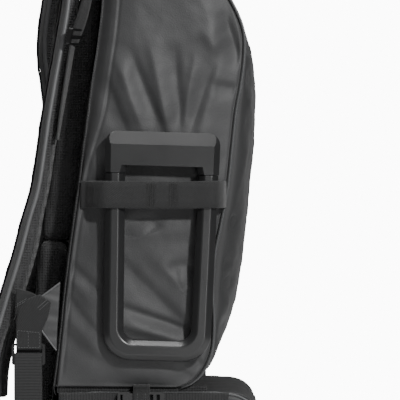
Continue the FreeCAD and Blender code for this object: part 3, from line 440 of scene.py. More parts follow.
TARP_SIDE = tarpaulin("tarp_side", (0.037, 0.0373, 0.038), 0.56)
# Same tarpaulin as the sides, darkened as painted shade for the front and underside that face away from the key light.
TARP_FRONT_SHADED = tarpaulin("tarp_front", (0.024, 0.0243, 0.0247), 0.56)
TARP_BASE = tarpaulin("tarp_base", (0.017, 0.0172, 0.0175), 0.52)
PIPING = tarpaulin("piping_cover", (0.050, 0.051, 0.052), 0.36)
WEB = webbing("webbing_grey", (0.0100, 0.0102, 0.0104))
# Same webbing, darkened as painted shade for the lifters and the adjuster slot.
WEB_SHADED = webbing("webbing_painted_shade", (0.0075, 0.0075, 0.0078))
WEB_RIBBED = webbing("webbing_ribbed", (0.0125, 0.0127, 0.013), rib=2.6, slant=0.0)
THREAD = rubber("thread", (0.055, 0.056, 0.057), 0.7)
THREAD_DARK = rubber("thread_dark", (0.008, 0.008, 0.008), 0.7)
MESH = mesh_fabric("mesh_black", (0.0150, 0.0150, 0.0155))
STRAP_COVER = webbing("strap_cover", (0.040, 0.0405, 0.041), rib=1.9)
BINDING = tarpaulin("strap_binding", (0.085, 0.086, 0.088), 0.38)
LOOP = plastic("loop_plastic", (0.0130, 0.0132, 0.0135), 0.33)
BUCKLE = plastic("buckle_plastic", (0.007, 0.007, 0.0072), 0.38)
METAL = plastic("zip_metal", (0.010, 0.010, 0.011), 0.28)
PULL = rubber("pull_rubber", (0.008, 0.008, 0.009), 0.55)
GRIP = rubber("handle_rubber", (0.009, 0.009, 0.0095), 0.6)
FOOT = rubber("foot_rubber", (0.007, 0.007, 0.007), 0.7)
BOARD = plastic("stiffener", (0.008, 0.008, 0.008), 0.6)
ZIP = coil_zip("zip_tape", (0.009, 0.009, 0.0095))


# ---------------------------------------------------------------- stage

def build_stage():
    bpy.ops.mesh.primitive_plane_add(size=1.3, location=(0, 0, 0))
    floor = bpy.context.object
    floor.name = "floor"
    mat, tree, shader = new_material("floor_matt")
    shader.inputs["Base Color"].default_value = (0.80, 0.80, 0.80, 1)
    shader.inputs["Roughness"].default_value = 0.8
    floor.data.materials.append(mat)

    world = bpy.data.worlds.new("studio")
    world.use_nodes = True
    sky = world.node_tree.nodes["Background"]
    sky.inputs["Color"].default_value = (1.0, 1.0, 1.0, 1)
    path = world.node_tree.nodes.new("ShaderNodeLightPath")
    level = math_node(world.node_tree, "ADD", math_node(world.node_tree, "MULTIPLY", path.outputs["Is Camera Ray"], 11.0), 0.10)
    world.node_tree.links.new(level, sky.inputs["Strength"])
    bpy.context.scene.world = world

    def lamp(name, place, target, size, power):
        data = bpy.data.lights.new(name, "AREA")
        data.shape = "DISK"
        data.size = size
        data.energy = power
        obj = bpy.data.objects.new(name, data)
        bpy.context.scene.collection.objects.link(obj)
        obj.location = place
        way = Vector(target) - Vector(place)
        obj.rotation_euler = way.to_track_quat("-Z", "Y").to_euler()

    lamp("key", (-2.0, -0.86, 1.22), (-0.15, 0.0, 0.26), 0.18, 58.0)
    lamp("top", (-0.3, -0.1, 1.55), (-0.15, 0.0, 0.3), 0.8, 24.0)
    lamp("low", (-1.5, -0.35, 0.14), (-0.15, 0.0, 0.12), 0.4, 3.0)

    camera = bpy.data.cameras.new("camera")
    camera.lens = 334.0
    camera.sensor_width = 36.0
    camera.clip_start = 0.05
    camera.clip_end = 20.0
    obj = bpy.data.objects.new("camera", camera)
    bpy.context.scene.collection.objects.link(obj)
    obj.location = (-3.49, -0.036, 0.288)
    obj.rotation_euler = (math.radians(90), 0, math.radians(-90))
    bpy.context.scene.camera = obj


build_stage()

# ---------------------------------------------------------------- gussets

# Folds of the side gusset as (start, end, depth, width), points as (y, z) in mm.
# The cloth fans out above the loop, sags behind it, and wraps round the lower corners.
FOLDS_LEFT = [
    ((47.7, 393.0), (31.5, 351.0), -3.6, 7.0), ((25.2, 416.0), (0.0, 353.0), -4.2, 7.5),
    ((-13.5, 416.0), (-18.0, 355.0), -3.4, 7.0), ((-46.8, 409.0), (-27.0, 351.0), -4.0, 8.0),
    ((37.8, 414.0), (16.2, 355.0), 2.8, 7.0), ((7.2, 423.0), (-7.2, 355.0), 3.0, 7.0),
    ((-31.5, 414.0), (-21.6, 355.0), 2.2, 5.5), ((-58.5, 452.0), (-71.0, 414.0), -4.6, 7.0),
    ((-48.0, 391.0), (-70.0, 388.0), -2.2, 6.0), ((-40.0, 440.0), (-52.0, 424.0), 2.0, 9.0),
    ((31.5, 229.0), (-27.0, 171.0), -3.4, 8.0), ((31.5, 191.0), (-24.0, 171.0), -4.2, 5.5),
    ((31.5, 176.0), (-14.0, 164.0), 2.6, 6.0), ((6.0, 236.0), (-24.0, 212.0), 2.2, 8.0),
    ((82.8, 233.0), (57.0, 209.0), -2.8, 5.0), ((84.6, 203.0), (60.0, 172.0), -2.4, 5.0),
    ((87.0, 168.0), (42.0, 134.0), -2.2, 6.0), ((80.0, 218.0), (60.0, 194.0), 1.8, 6.0),
    ((84.0, 184.0), (52.0, 150.0), 1.8, 7.0), ((-22.0, 156.0), (-41.0, 136.0), -2.0, 4.0),
    ((-8.0, 140.0), (-30.0, 128.0), -1.6, 4.0), ((70.0, 300.0), (58.0, 268.0), -2.0, 6.0),
    ((62.0, 330.0), (52.0, 300.0), 1.4, 7.0), ((30.0, 258.0), (-30.0, 262.0), 1.6, 9.0),
]
ARCS_LEFT = [
    ((16.0, 254.0), 16.0, 0.0, 150.0, -2.6, 6.0), ((-20.0, 206.0), 22.0, 60.0, 140.0, -3.0, 7.0),
]
FOLDS_RIGHT = [
    ((44.0, 420.0), (22.0, 340.0), -2.6, 9.0), ((10.0, 440.0), (-2.0, 352.0), -3.0, 9.0),
    ((-34.0, 420.0), (-20.0, 340.0), -2.8, 9.0), ((28.0, 430.0), (12.0, 350.0), 2.2, 8.0),
    ((-14.0, 430.0), (-10.0, 350.0), 2.0, 8.0), ((60.0, 262.0), (-20.0, 190.0), -2.8, 10.0),
    ((70.0, 214.0), (10.0, 150.0), -2.4, 9.0), ((20.0, 270.0), (-36.0, 240.0), -2.0, 8.0),
    ((84.0, 180.0), (50.0, 138.0), 1.8, 8.0), ((0.0, 176.0), (-32.0, 146.0), -1.8, 6.0),
    ((-55.0, 450.0), (-68.0, 410.0), -3.6, 8.0),
]


def crease(y, z, start, end, depth, width, ends=0.3):
    """A soft valley or ridge between two points; a valley is steeper on its upper front side."""
    way = np.subtract(end, start).astype(float)
    size = np.hypot(*way)
    way /= size
    along = (y - start[0]) * way[0] + (z - start[1]) * way[1]
    off = -(y - start[0]) * way[1] + (z - start[1]) * way[0]
    if way[1] * 0.5 + way[0] * 0.85 < 0:
        off = -off
    fade = smoothstep(-ends * size, ends * size, along)
    fade = fade * (1 - smoothstep(size * (1 - ends), size * (1 + ends), along))
    steep, gentle = (0.62, 1.5) if depth < 0 else (1.5, 0.7)
    spread = np.where(off > 0, width * steep, width * gentle)
    return depth * np.exp(-((off / spread) ** 2)) * fade


def arc_crease(y, z, centre, radius, low, high, depth, width):
    """A curved valley on part of a circle; angles in degrees from +Y towards +Z."""
    r = np.hypot(y - centre[0], z - centre[1])
    angle = np.degrees(np.arctan2(z - centre[1], y - centre[0]))
    fade = smoothstep(low - 14, low + 14, angle) * (1 - smoothstep(high - 14, high + 14, angle))
    spread = np.where(r > radius, width * 0.7, width * 1.7)
    return depth * np.exp(-(((r - radius) / spread) ** 2)) * fade


def mouth_point(v, w):
    y = HINGE[0] + v * math.cos(MOUTH_TILT) - w * math.sin(MOUTH_TILT)
    z = HINGE[1] + v * math.sin(MOUTH_TILT) + w * math.cos(MOUTH_TILT)
    return (y, z)


def gusset(side, sign, folds, arcs, seed):
    """Side of the upper bag: one sagging sheet between the back and front seams."""
    nt, ns = 300, 150
    front = smooth_line([tuple(p) for p in reversed(FRONT_SEAM)], nt)
    back_points = [(p[0] - 0.6, p[1]) for p in BACK_LINE]
    back_points[0] = (94.5, 120.4)
    back_points[-1] = mouth_point(-3.0, -9.9)
    back = smooth_line(back_points, nt)
    s = np.linspace(0.0, 1.0, ns)
    y = back[:, 0][:, None] * (1 - s) + front[:, 0][:, None] * s
    z = back[:, 1][:, None] * (1 - s) + front[:, 1][:, None] * s
    span = np.hypot(back[:, 0] - front[:, 0], back[:, 1] - front[:, 1])[:, None]
    from_back = s[None, :] * span
    from_front = (1 - s)[None, :] * span
    height = np.linspace(0.0, 1.0, nt)[:, None] * 400.0
    dome = 6.5 * smoothstep(0, 34, from_back) * smoothstep(0, 30, from_front)
    dome = dome * smoothstep(0, 26, height) * (1 - 0.55 * smoothstep(360, 400, height))
    d = dome
    for start, end, depth, width in folds:
        d = d + crease(y, z, start, end, depth * 0.95, width * 1.1)
    for centre, radius, low, high, depth, width in arcs:
        d = d + arc_crease(y, z, centre, radius, low, high, depth * 0.8, width * 1.25)
    flat = np.column_stack([np.zeros(y.size), y.ravel(), z.ravel()])
    d = d + (ripple(flat, 38.0, seed, 2) * 1.1 + ripple(flat, 13.0, seed + 3, 2) * 0.28).reshape(y.shape)
    calm = smoothstep(0, 9, from_back) * smoothstep(0, 7, from_front) * smoothstep(0, 8, height)
    calm = calm * (1 - smoothstep(392, 400, height))
    d = np.clip(d, -6.0, 9.3) * calm
    roll = 3.0 + 10.0 * smoothstep(300, 380, z)
    turn_in = 8.0 * (1 - smoothstep(0, 1, from_back / roll)) ** 1.5
    groove = 1.5 * np.exp(-(((from_front - 1.6) / 1.3) ** 2))
    welt = 0.3 * np.exp(-(((from_back - roll) / 1.3) ** 2)) - 0.8 * np.exp(-(((from_back - roll - 2.6) / 1.4) ** 2))
    x = sign * (HALF - 0.2 + d - turn_in - groove + welt * smoothstep(120, 150, z))
    outer = np.stack([x, y, z], axis=-1)
    inner = outer.copy()
    inner[..., 0] -= sign * 1.5
    obj = sheet_solid("gusset_" + side, outer, inner, "bag", TARP_SIDE)
    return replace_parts(obj, "side_panel_" + side)


gusset("left", -1, FOLDS_LEFT, ARCS_LEFT, 1)
gusset("right", 1, FOLDS_RIGHT, [], 9)


# ---------------------------------------------------------------- front, bottom, lid

def bulge(share, power):
    return (1.0 - np.abs(share) ** power) ** (1.0 / power)


def panel_shares(count):
    """Stations across the bag, closer together near the seams."""
    return np.sin(np.linspace(-0.5, 0.5, count) * math.pi)


def front_panel():
    """Bulging front, creased where it is gathered into the seams."""
    nt, nx = 230, 170
    seam = smooth_line([tuple(p) for p in reversed(FRONT_SEAM)], nt)
    middle = smooth_line([tuple(p) for p in reversed(FRONT_MIDDLE)], nt)
    share = panel_shares(nx)
    b = bulge(share, 3.0)[:, None]
    y = seam[:, 0] * (1 - b) + middle[:, 0] * b
    z = seam[:, 1] * (1 - b) + middle[:, 1] * b
    x = np.repeat(share[:, None] * HALF, nt, axis=1)
    flat = np.column_stack([x.ravel(), np.zeros(x.size), z.ravel()])
    d = (ripple(flat, 55.0, 21, 2) * 1.6 + ripple(flat * [1, 1, 2.2], 20.0, 23, 2) * 0.5).reshape(x.shape)
    edge = (HALF - np.abs(x))
    gather = 1.5 * np.exp(-((edge - 14) / 12.0) ** 2) * np.sin(z / 9.5 + 1.7 * np.sin(z / 31.0))
    for hollow in ((425.0, 6.0, 2.6), (268.0, 8.0, 3.0), (232.0, 7.0, 2.0)):
        gather -= hollow[2] * np.exp(-(((z - hollow[0]) / hollow[1]) ** 2)) * np.exp(-((edge - 6) / 8.0) ** 2)
    fade = smoothstep(0, 5, edge) * smoothstep(119.5, 132, z) * (1 - smoothstep(500, 513, z))
    d = (d + gather) * fade
    slope_y = np.gradient(z, axis=1)
    slope_z = -np.gradient(y, axis=1)
    size = np.hypot(slope_y, slope_z) + 1e-9
    outer = np.stack([x, y - d * slope_y / size, z - d * slope_z / size], axis=-1)
    inner = np.stack([x * 0.992, y + 1.5 * slope_y / size, z + 1.5 * slope_z / size], axis=-1)
    # The front cloth takes the darker tarpaulin copy: painted shade.
    obj = sheet_solid("front_panel_cloth", outer, inner, "bag", TARP_FRONT_SHADED)
    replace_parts(obj, "front_panel")


def bottom_panel():
    """Underside of the upper bag, rolled up a little at its edges."""
    nx, ny = 120, 60
    x = np.repeat(np.linspace(-148.5, 148.5, nx)[:, None], ny, axis=1)
    y = np.repeat(np.linspace(-18.0, 94.0, ny)[None, :], nx, axis=0)
    edge = np.minimum(np.minimum(148.5 - np.abs(x), y + 18.0), 94.0 - y)
    z = 119.0 + 0.9 * (1 - smoothstep(0, 6, edge))
    outer = np.stack([x, y, z], axis=-1)
    inner = outer.copy()
    inner[..., 2] += 1.6
    # The underside takes the darker tarpaulin copy: painted shade.
    obj = sheet_solid("bottom_panel_cloth", outer, inner, "bag", TARP_FRONT_SHADED)
    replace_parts(obj, "bottom_panel")


def lid_panel():
    """Domed lid with rounded shoulders and a bound lower edge."""
    nv, nx = 90, 150
    share = panel_shares(nx)
    t = (1 - np.cos(np.linspace(0, math.pi, nv))) / 2.0
    v = -MOUTH_LENGTH + 0.2 + (MOUTH_LENGTH - 1.4) * t
    rise = 14.5 * (1 - np.abs(2 * t - 1) ** 5) ** 0.45
    rise = rise * (1 - 0.2 * t)
    across = bulge(share, 5.0)[:, None]
    w = 9.9 + rise[None, :] * np.clip(across, 0, 1) ** 0.9
    x = np.repeat(share[:, None] * (HALF - 0.3), nv, axis=1)
    flat = np.column_stack([x.ravel(), np.repeat(v[None, :], nx, 0).ravel(), np.zeros(x.size)])
    wave = (ripple(flat, 48.0, 31, 2) * 1.4).reshape(x.shape)
    edge = np.minimum((w - 9.9) / 6.0, 1.0)
    w = w + wave * edge
    w = w - 6.4 * smoothstep(-9.0, -1.2, v)[None, :]
    y, z = mouth_point(np.repeat(v[None, :], nx, 0), w)
    outer = np.stack([x, y, z], axis=-1)
    y2, z2 = mouth_point(np.repeat((v * 0.975 - 1.2)[None, :], nx, 0), w - 1.7)
    inner = np.stack([x * 0.99, y2, z2], axis=-1)
    obj = sheet_solid("lid_cloth", outer, inner, "lid", TARP_SIDE)
    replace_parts(obj, "lid_panel")


def u_path(half, front, corner, back, count=150):
    """Points of a U round the mouth: down one side, across the front, back up."""
    points = [(-half, back), (-half, -front + corner)]
    for k in range(1, 8):
        a = math.radians(180 + 90 * k / 8)
        points.append((-half + corner + corner * math.cos(a), -front + corner + corner * math.sin(a)))
    points += [(-half + corner, -front), (half - corner, -front)]
    for k in range(1, 8):
        a = math.radians(270 + 90 * k / 8)
        points.append((half - corner + corner * math.cos(a), -front + corner + corner * math.sin(a)))
    points += [(half, -front + corner), (half, back)]
    pts = np.array(points)
    where = lengths(np.column_stack([pts, np.zeros(len(pts))]))
    wanted = np.linspace(0, where[-1], count)
    return np.column_stack([np.interp(wanted, where, pts[:, 0]), np.interp(wanted, where, pts[:, 1])])


def mouth_tape(name, body, low, high, node_name):
    """One half of the zip round the mouth: tape plus a raised coil at the join."""
    count = 420
    path = u_path(HALF, MOUTH_LENGTH, 14.0, -4.2, count)
    tangent = np.gradient(path, axis=0)
    tangent /= np.linalg.norm(tangent, axis=1)[:, None]
    out = np.column_stack([-tangent[:, 1], tangent[:, 0]])
    out *= -np.sign(np.sum(out * (np.array([0.0, -40.0]) - path), axis=1))[:, None]
    run = lengths(np.column_stack([path, np.zeros(count)]))
    join = low if abs(low) < abs(high) else high
    levels = np.linspace(low, high, 12)
    verts = []
    uvs = []
    profile = []
    for w in levels:
        away = abs(w - join)
        tucked = 1.2 * (1 - smoothstep(-10.0, -8.4, w))
        raise_ = 0.55 * math.exp(-((away - 1.0) / 0.9) ** 2)
        profile.append((w, raise_ - tucked))
    back_side = [(w, -1.3 - 1.2 * (1 - smoothstep(-10.0, -8.4, w))) for w in reversed(levels)]
    ring = profile + back_side
    for i in range(count):
        for w, off in ring:
            x = path[i, 0] + out[i, 0] * off
            v = path[i, 1] + out[i, 1] * off
            y, z = mouth_point(v, w)
            verts.append((x, y, z))
            uvs.append((run[i], abs(w - join)))
    n = len(ring)
    faces = grid_faces(count, n, close_v=True)
    faces.append(tuple(range(n))[::-1])
    faces.append(tuple((count - 1) * n + k for k in range(n)))
    obj = finish_mesh(name, verts, faces, body, ZIP, uvs)
    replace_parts(obj, node_name)


front_panel()
bottom_panel()
lid_panel()
mouth_tape("mouth_zip_lower", "bag", -13.5, -0.45, "lid_zip_lower")
mouth_tape("mouth_zip_upper", "lid", 0.45, 9.5, "lid_zip_upper")


def seam_beads():
    """Piping along the gusset seams and the hinge welt."""
    for side, sign in (("left", -1), ("right", 1)):
        line = smooth_line([(sign * (HALF + 0.2), p[0] - 0.7, p[1] - 0.8) for p in FRONT_SEAM[1:]], 240)
        fade = 1.35 * np.minimum(1.0, np.linspace(0, 14, 240) + 0.3)
        fade = np.minimum(fade, 1.35 * (np.linspace(12, 0, 240) + 0.25))
        fade = np.minimum(fade, 1.35)
        bead = tube("seam_piping_" + side, line, fade, "bag", PIPING, 10)
        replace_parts(bead, "piping_" + side)
    line = [(x, HINGE[0], HINGE[1]) for x in np.linspace(-146.8, 146.8, 60)]
    radius = 2.9 * np.minimum(1.0, np.minimum(np.arange(60) + 0.5, np.arange(60)[::-1] + 0.5) / 2.0)
    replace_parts(tube("hinge_welt_cover", line, radius, "bag", PIPING, 12), "lid_hinge_welt")


seam_beads()

# ---------------------------------------------------------------- straps and webbing

def patch(name, rows, thick, out, body, material, cols=24, fine=60, wave=0.0, seed=0):
    """Flat cloth or webbing between two edges: rows are (left point, right point)."""
    data = smooth_line([tuple(a) + tuple(b) for a, b in rows], fine)
    share = np.linspace(0.0, 1.0, cols)
    out = np.array(out, float)
    left, right = data[:, None, :3], data[:, None, 3:]
    mid = left * (1 - share[None, :, None]) + right * share[None, :, None]
    run = lengths(data[:, :3])[:, None]
    width = np.linalg.norm(data[:, 3:] - data[:, :3], axis=1)[:, None] * (share[None, :] - 0.5)
    edge = np.minimum(share, 1 - share)[None, :] * np.linalg.norm(data[:, 3:] - data[:, :3], axis=1)[:, None]
    ends = np.minimum(run, run[-1] - run)
    soft = 1 - 0.75 * np.exp(-np.minimum(edge, ends + 0 * edge) / 0.35)
    lift = thick * soft
    if wave:
        lift = lift + wave * (np.sin(run * 0.32 + seed + width * 0.12) + 0.6 * np.sin(run * 0.71 + seed)) * smoothstep(0, 4, ends) * 0.5
    outer = mid + out * lift[..., None]
    inner = mid + out * (lift - thick * np.maximum(soft, 0.4))[..., None]
    uv = np.stack([run + 0 * width, width], axis=-1)
    return sheet_solid(name, outer, inner, body, material, uv)


def thread_row(a, b, out, pitch=3.2):
    """Evenly spaced stitches between two points."""
    a, b = np.array(a, float), np.array(b, float)
    size = np.linalg.norm(b - a)
    way = (b - a) / size
    count = max(1, int(size / pitch))
    return [(a + way * (k + 0.5) * size / count, way, out) for k in range(count)]


def thread_path(points, out, pitch=3.2):
    rows = []
    for a, b in zip(points, points[1:]):
        rows += thread_row(a, b, out, pitch)
    return rows


def bar_tack(centre, tall, wide, along, up, out):
    """Dense zigzag of thread over a strap joint."""
    spots = []
    centre, along, up = np.array(centre, float), np.array(along, float), np.array(up, float)
    count = int(tall / 0.9)
    for k in range(count):
        at = centre + up * ((k + 0.5) / count - 0.5) * tall
        turn = along * (1.0 if k % 2 else 0.85) + up * (0.35 if k % 2 else -0.35)
        spots.append((at, turn, out))
    return spots


LOOP_FACE = 176.9
STRAP_Z = 293.0


def side_straps():
    """Cross webbing of the left gusset, laid over the loop, and the plain one on the right."""
    points = [
        (-150.9, 71.0, STRAP_Z), (-153.4, 66.0, STRAP_Z), (-LOOP_FACE + 7.0, 57.5, STRAP_Z), (-LOOP_FACE, 50.0, STRAP_Z),
        (-LOOP_FACE, 30.0, STRAP_Z - 0.3), (-LOOP_FACE, 0.0, STRAP_Z - 0.6), (-LOOP_FACE, -30.0, STRAP_Z - 0.4),
        (-LOOP_FACE, -48.0, STRAP_Z), (-LOOP_FACE + 9.0, -55.5, STRAP_Z), (-151.0, -59.2, STRAP_Z),
    ]
    strap = ribbon("side_strap_webbing_left", points, [(0, 0, 1)] * 10, 24.4, 1.4, "bag", WEB, 160)
    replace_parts(strap, "side_strap_left")
    spots = []
    face = -LOOP_FACE - 0.75
    for y in (4.6, 6.6, 8.6, 10.6, -9.4, -11.4, -13.4, -15.2):
        spots += bar_tack((face, y, STRAP_Z - 0.5), 21.0, 2.0, (0, 1, 0), (0, 0, 1), (-1, 0, 0))
    stitches("side_strap_tacks", spots, "bag", THREAD_DARK, (2.0, 0.5, 0.3))
    keeper = patch(
        "side_strap_backing",
        [((-175.6, y, STRAP_Z - 11.6), (-175.6, y, STRAP_Z + 11.6)) for y in (-15.4, -8.0, 0.0, 6.0, 12.4)],
        3.0, (1, 0, 0), "bag", WEB,
    )
    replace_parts(keeper, "side_strap_keeper")
    rows = [((150.4, y, STRAP_Z - 12.4), (150.4, y + k, STRAP_Z + 12.4)) for y, k in ((72.0, 0.0), (30.0, 0.0), (0.0, 0.0), (-30.0, -1.5), (-56.6, -3.6))]
    rows = [(tuple(np.add(a, (0.4 + 6.4 * smoothstep(72, 40, a[1]) * smoothstep(-58, -26, a[1]) + 1.4, 0, 0))),
             tuple(np.add(b, (0.4 + 6.4 * smoothstep(72, 40, b[1]) * smoothstep(-58, -26, b[1]) + 1.4, 0, 0)))) for a, b in rows]
    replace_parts(patch("side_strap_webbing_right", rows, 1.4, (1, 0, 0), "bag", WEB, fine=90), "side_strap_right")


STRAP_LINE_SLACK = [
    0.0, 0.8, 5.5, 12.5, 21.0, 26.0, 24.0, 14.0, 4.5, 0.0, 0.0, 0.0, 0.0, 0.0, 0.0, 0.0, 0.0, 0.0,
]


def strap_frame(sign, count):
    """Centre line, outward normal and thickness of a shoulder strap."""
    slack = STRAP_LINE_SLACK if sign > 0 else [0.0] * len(STRAP_LINE)
    rows = [(sign * p[0], p[1] + s, p[2], p[3]) for p, s in zip(STRAP_LINE, slack)]
    data = smooth_line(rows, count)
    tangent = np.gradient(data[:, :3], axis=0)
    tangent[:, 0] = 0
    tangent /= np.linalg.norm(tangent, axis=1)[:, None]
    out = np.column_stack([np.zeros(count), -tangent[:, 2], tangent[:, 1]])
    return data, tangent, out


def shoulder_straps():
    """Outer cover, bright edge binding, dark mesh pad below and stitched webbing."""
    for side, sign in (("left", -1), ("right", 1)):
        count = 220
        data, tangent, out = strap_frame(sign, count)
        centre, half = data[:, :3], 16.0 * data[:, 3] / 2.0
        run = lengths(data)
        ends = np.minimum(run, run[-1] - run)
        wide = 32.0 * (1 - 0.12 * (1 - smoothstep(0, 40, ends)))
        angles = np.linspace(0, 2 * math.pi, 56, endpoint=False)
        flat = np.column_stack([np.zeros(count), centre[:, 1], centre[:, 2]])
        swell = ripple(flat, 42.0, 40 + sign, 2)
        verts = []
        for i in range(count):
            for a in angles:
                cx, sx = math.cos(a), math.sin(a)
                across = np.sign(cx) * abs(cx) ** 0.34 * (wide[i] - 0.6)
                if sx < 0:
                    low = smoothstep(300, 240, centre[i, 2]) * smoothstep(160, 200, centre[i, 2])
                    depth = -(half[i] - 0.2) * (1 + 0.5 * float(low)) * abs(sx) ** 0.55 * (1 + 0.05 * swell[i])
                else:
                    depth = (half[i] * 0.10) * abs(sx) ** 0.4
                verts.append(centre[i] + np.array((across, 0, 0)) + out[i] * depth)
        faces = grid_faces(count, 56, close_v=True)
        faces.append(tuple(range(56))[::-1])
        faces.append(tuple((count - 1) * 56 + k for k in range(56)))
        pad = finish_mesh("strap_mesh_pad_" + side, verts, faces, "bag", MESH)
        share = np.sin(np.linspace(-0.5, 0.5, 30) * math.pi)
        grid_out = np.empty((count, 30, 3))
        grid_in = np.empty((count, 30, 3))
        uv = np.empty((count, 30, 2))
        for i in range(count):
            crown = half[i] * (0.35 + 0.55 * (1 - np.abs(share) ** 4)) + 0.25 * swell[i] * (1 - share ** 2)
            grid_out[i] = centre[i] + np.outer(share * wide[i], (1, 0, 0)) + np.outer(crown, out[i])
            grid_in[i] = centre[i] + np.outer(share * (wide[i] - 0.2), (1, 0, 0)) + np.outer(crown * 0.1, out[i])
            uv[i, :, 0] = run[i]
            uv[i, :, 1] = share * wide[i]
        cover = sheet_solid("strap_cover_" + side, grid_out, grid_in, "bag", STRAP_COVER, uv)
        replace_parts(cover, "shoulder_strap_" + side)
        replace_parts(pad, "shoulder_strap_" + side)
        for edge in (-1, 1):
            bead_line = centre + np.outer(edge * (wide - 0.2), (1, 0, 0)) + out * (half * 0.05)[:, None]
            radius = np.minimum(1.9, 0.5 + ends * 0.4)
            tube("strap_binding_%s_%s" % (side, "inner" if edge * sign < 0 else "outer"), bead_line, radius, "bag", BINDING, 12, 0.8, (1, 0, 0))
        keep = (run > 70) & (run < run[-1] - 26)
        idx = np.where(keep)[0]
        top = centre[idx] + out[idx] * (half[idx] * 0.92 + 0.5)[:, None]
        pucker = 0.5 * np.maximum(0, np.sin(run[idx] * 2 * math.pi / 46.0)) ** 8
        top = top + out[idx] * pucker[:, None]
        rows = [((p[0] - 12.5, p[1], p[2]), (p[0] + 12.5, p[1], p[2])) for p in top[::4]]
        lift = out[idx].mean(axis=0)
        web = patch("strap_webbing_" + side, rows, 1.4, lift / np.linalg.norm(lift), "bag", WEB, 20, 200)
        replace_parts(web, "shoulder_webbing_" + side)
        spots = []
        for k in range(0, len(idx) - 3, 22):
            p, o, t = top[k], out[idx[k]], tangent[idx[k]]
            for shift in (-1.2, 1.2):
                base = p + o * 1.55 + t * shift
                spots += thread_row(base - np.array((11.0, 0, 0)), base + np.array((11.0, 0, 0)), o, 2.6)
        stitches("strap_tacks_" + side, spots, "bag", THREAD_DARK, (2.0, 0.6, 0.35))


def lifters():
    """Lifter webbing down to its ladder lock, and the loose tail beyond it."""
    for side, sign in (("left", -1), ("right", 1)):
        k = 1.0 if sign > 0 else 0.0
        points = [
            (sign * 136.0, 54.0, 520.0), (sign * 135.0, 58.5 + 8.0 * k, 500.0),
            (sign * 133.0, 66.5 + 19.0 * k, 468.0), (sign * 132.0, 73.0 + 23.5 * k, 446.0),
            (sign * 130.9, 79.3 + 23.0 * k, 430.2),
        ]
        across = [(1, 0.25 * sign, 0), (1, 0.3 * sign, 0), (1, 0.5 * sign, 0), (1, 0.6 * sign, 0), (1, 0.6 * sign, 0)]
        # Lifter webbing in the darker webbing copy: painted shade.
        upper = ribbon("lifter_webbing_upper_" + side, points, across, 18.0, 1.3, "bag", WEB_SHADED, 70)
        spots = []
        for a, b, c in zip(points, points[1:], across):
            w = np.array(c, float) / np.linalg.norm(c)
            way = np.subtract(b, a)
            out = np.cross(way, w)
            out = out / np.linalg.norm(out)
            out = out * (1 if out[1] > 0 else -1)
            for edge in (-7.6, 7.6):
                spots += thread_row(np.add(a, w * edge) + out * 0.7, np.add(b, w * edge) + out * 0.7, out, 2.6)
        stitches("lifter_stitches_" + side, spots, "bag", THREAD, (1.6, 0.5, 0.3))
        points = [
            (sign * 130.6, 79.0 + 22.4 * k, 431.0), (sign * 130.5, 80.0 + 22.0 * k, 425.5),
            (sign * 131.0, 84.0 + 14.0 * k, 400.0), (sign * 132.0, 89.0 + 4.0 * k, 370.0), (sign * 133.0, 93.0, 342.0),
        ]
        across = [(1, share * sign, 0) for share in (0.28, 0.26, 0.22, 0.16, 0.08)]
        tail = ribbon("lifter_webbing_tail_" + side, points, across, 16.0, 1.2, "bag", WEB, 80, 0.3, 1.0)
        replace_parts(upper, "lifter_webbing_" + side)
        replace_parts(tail, "lifter_webbing_" + side)


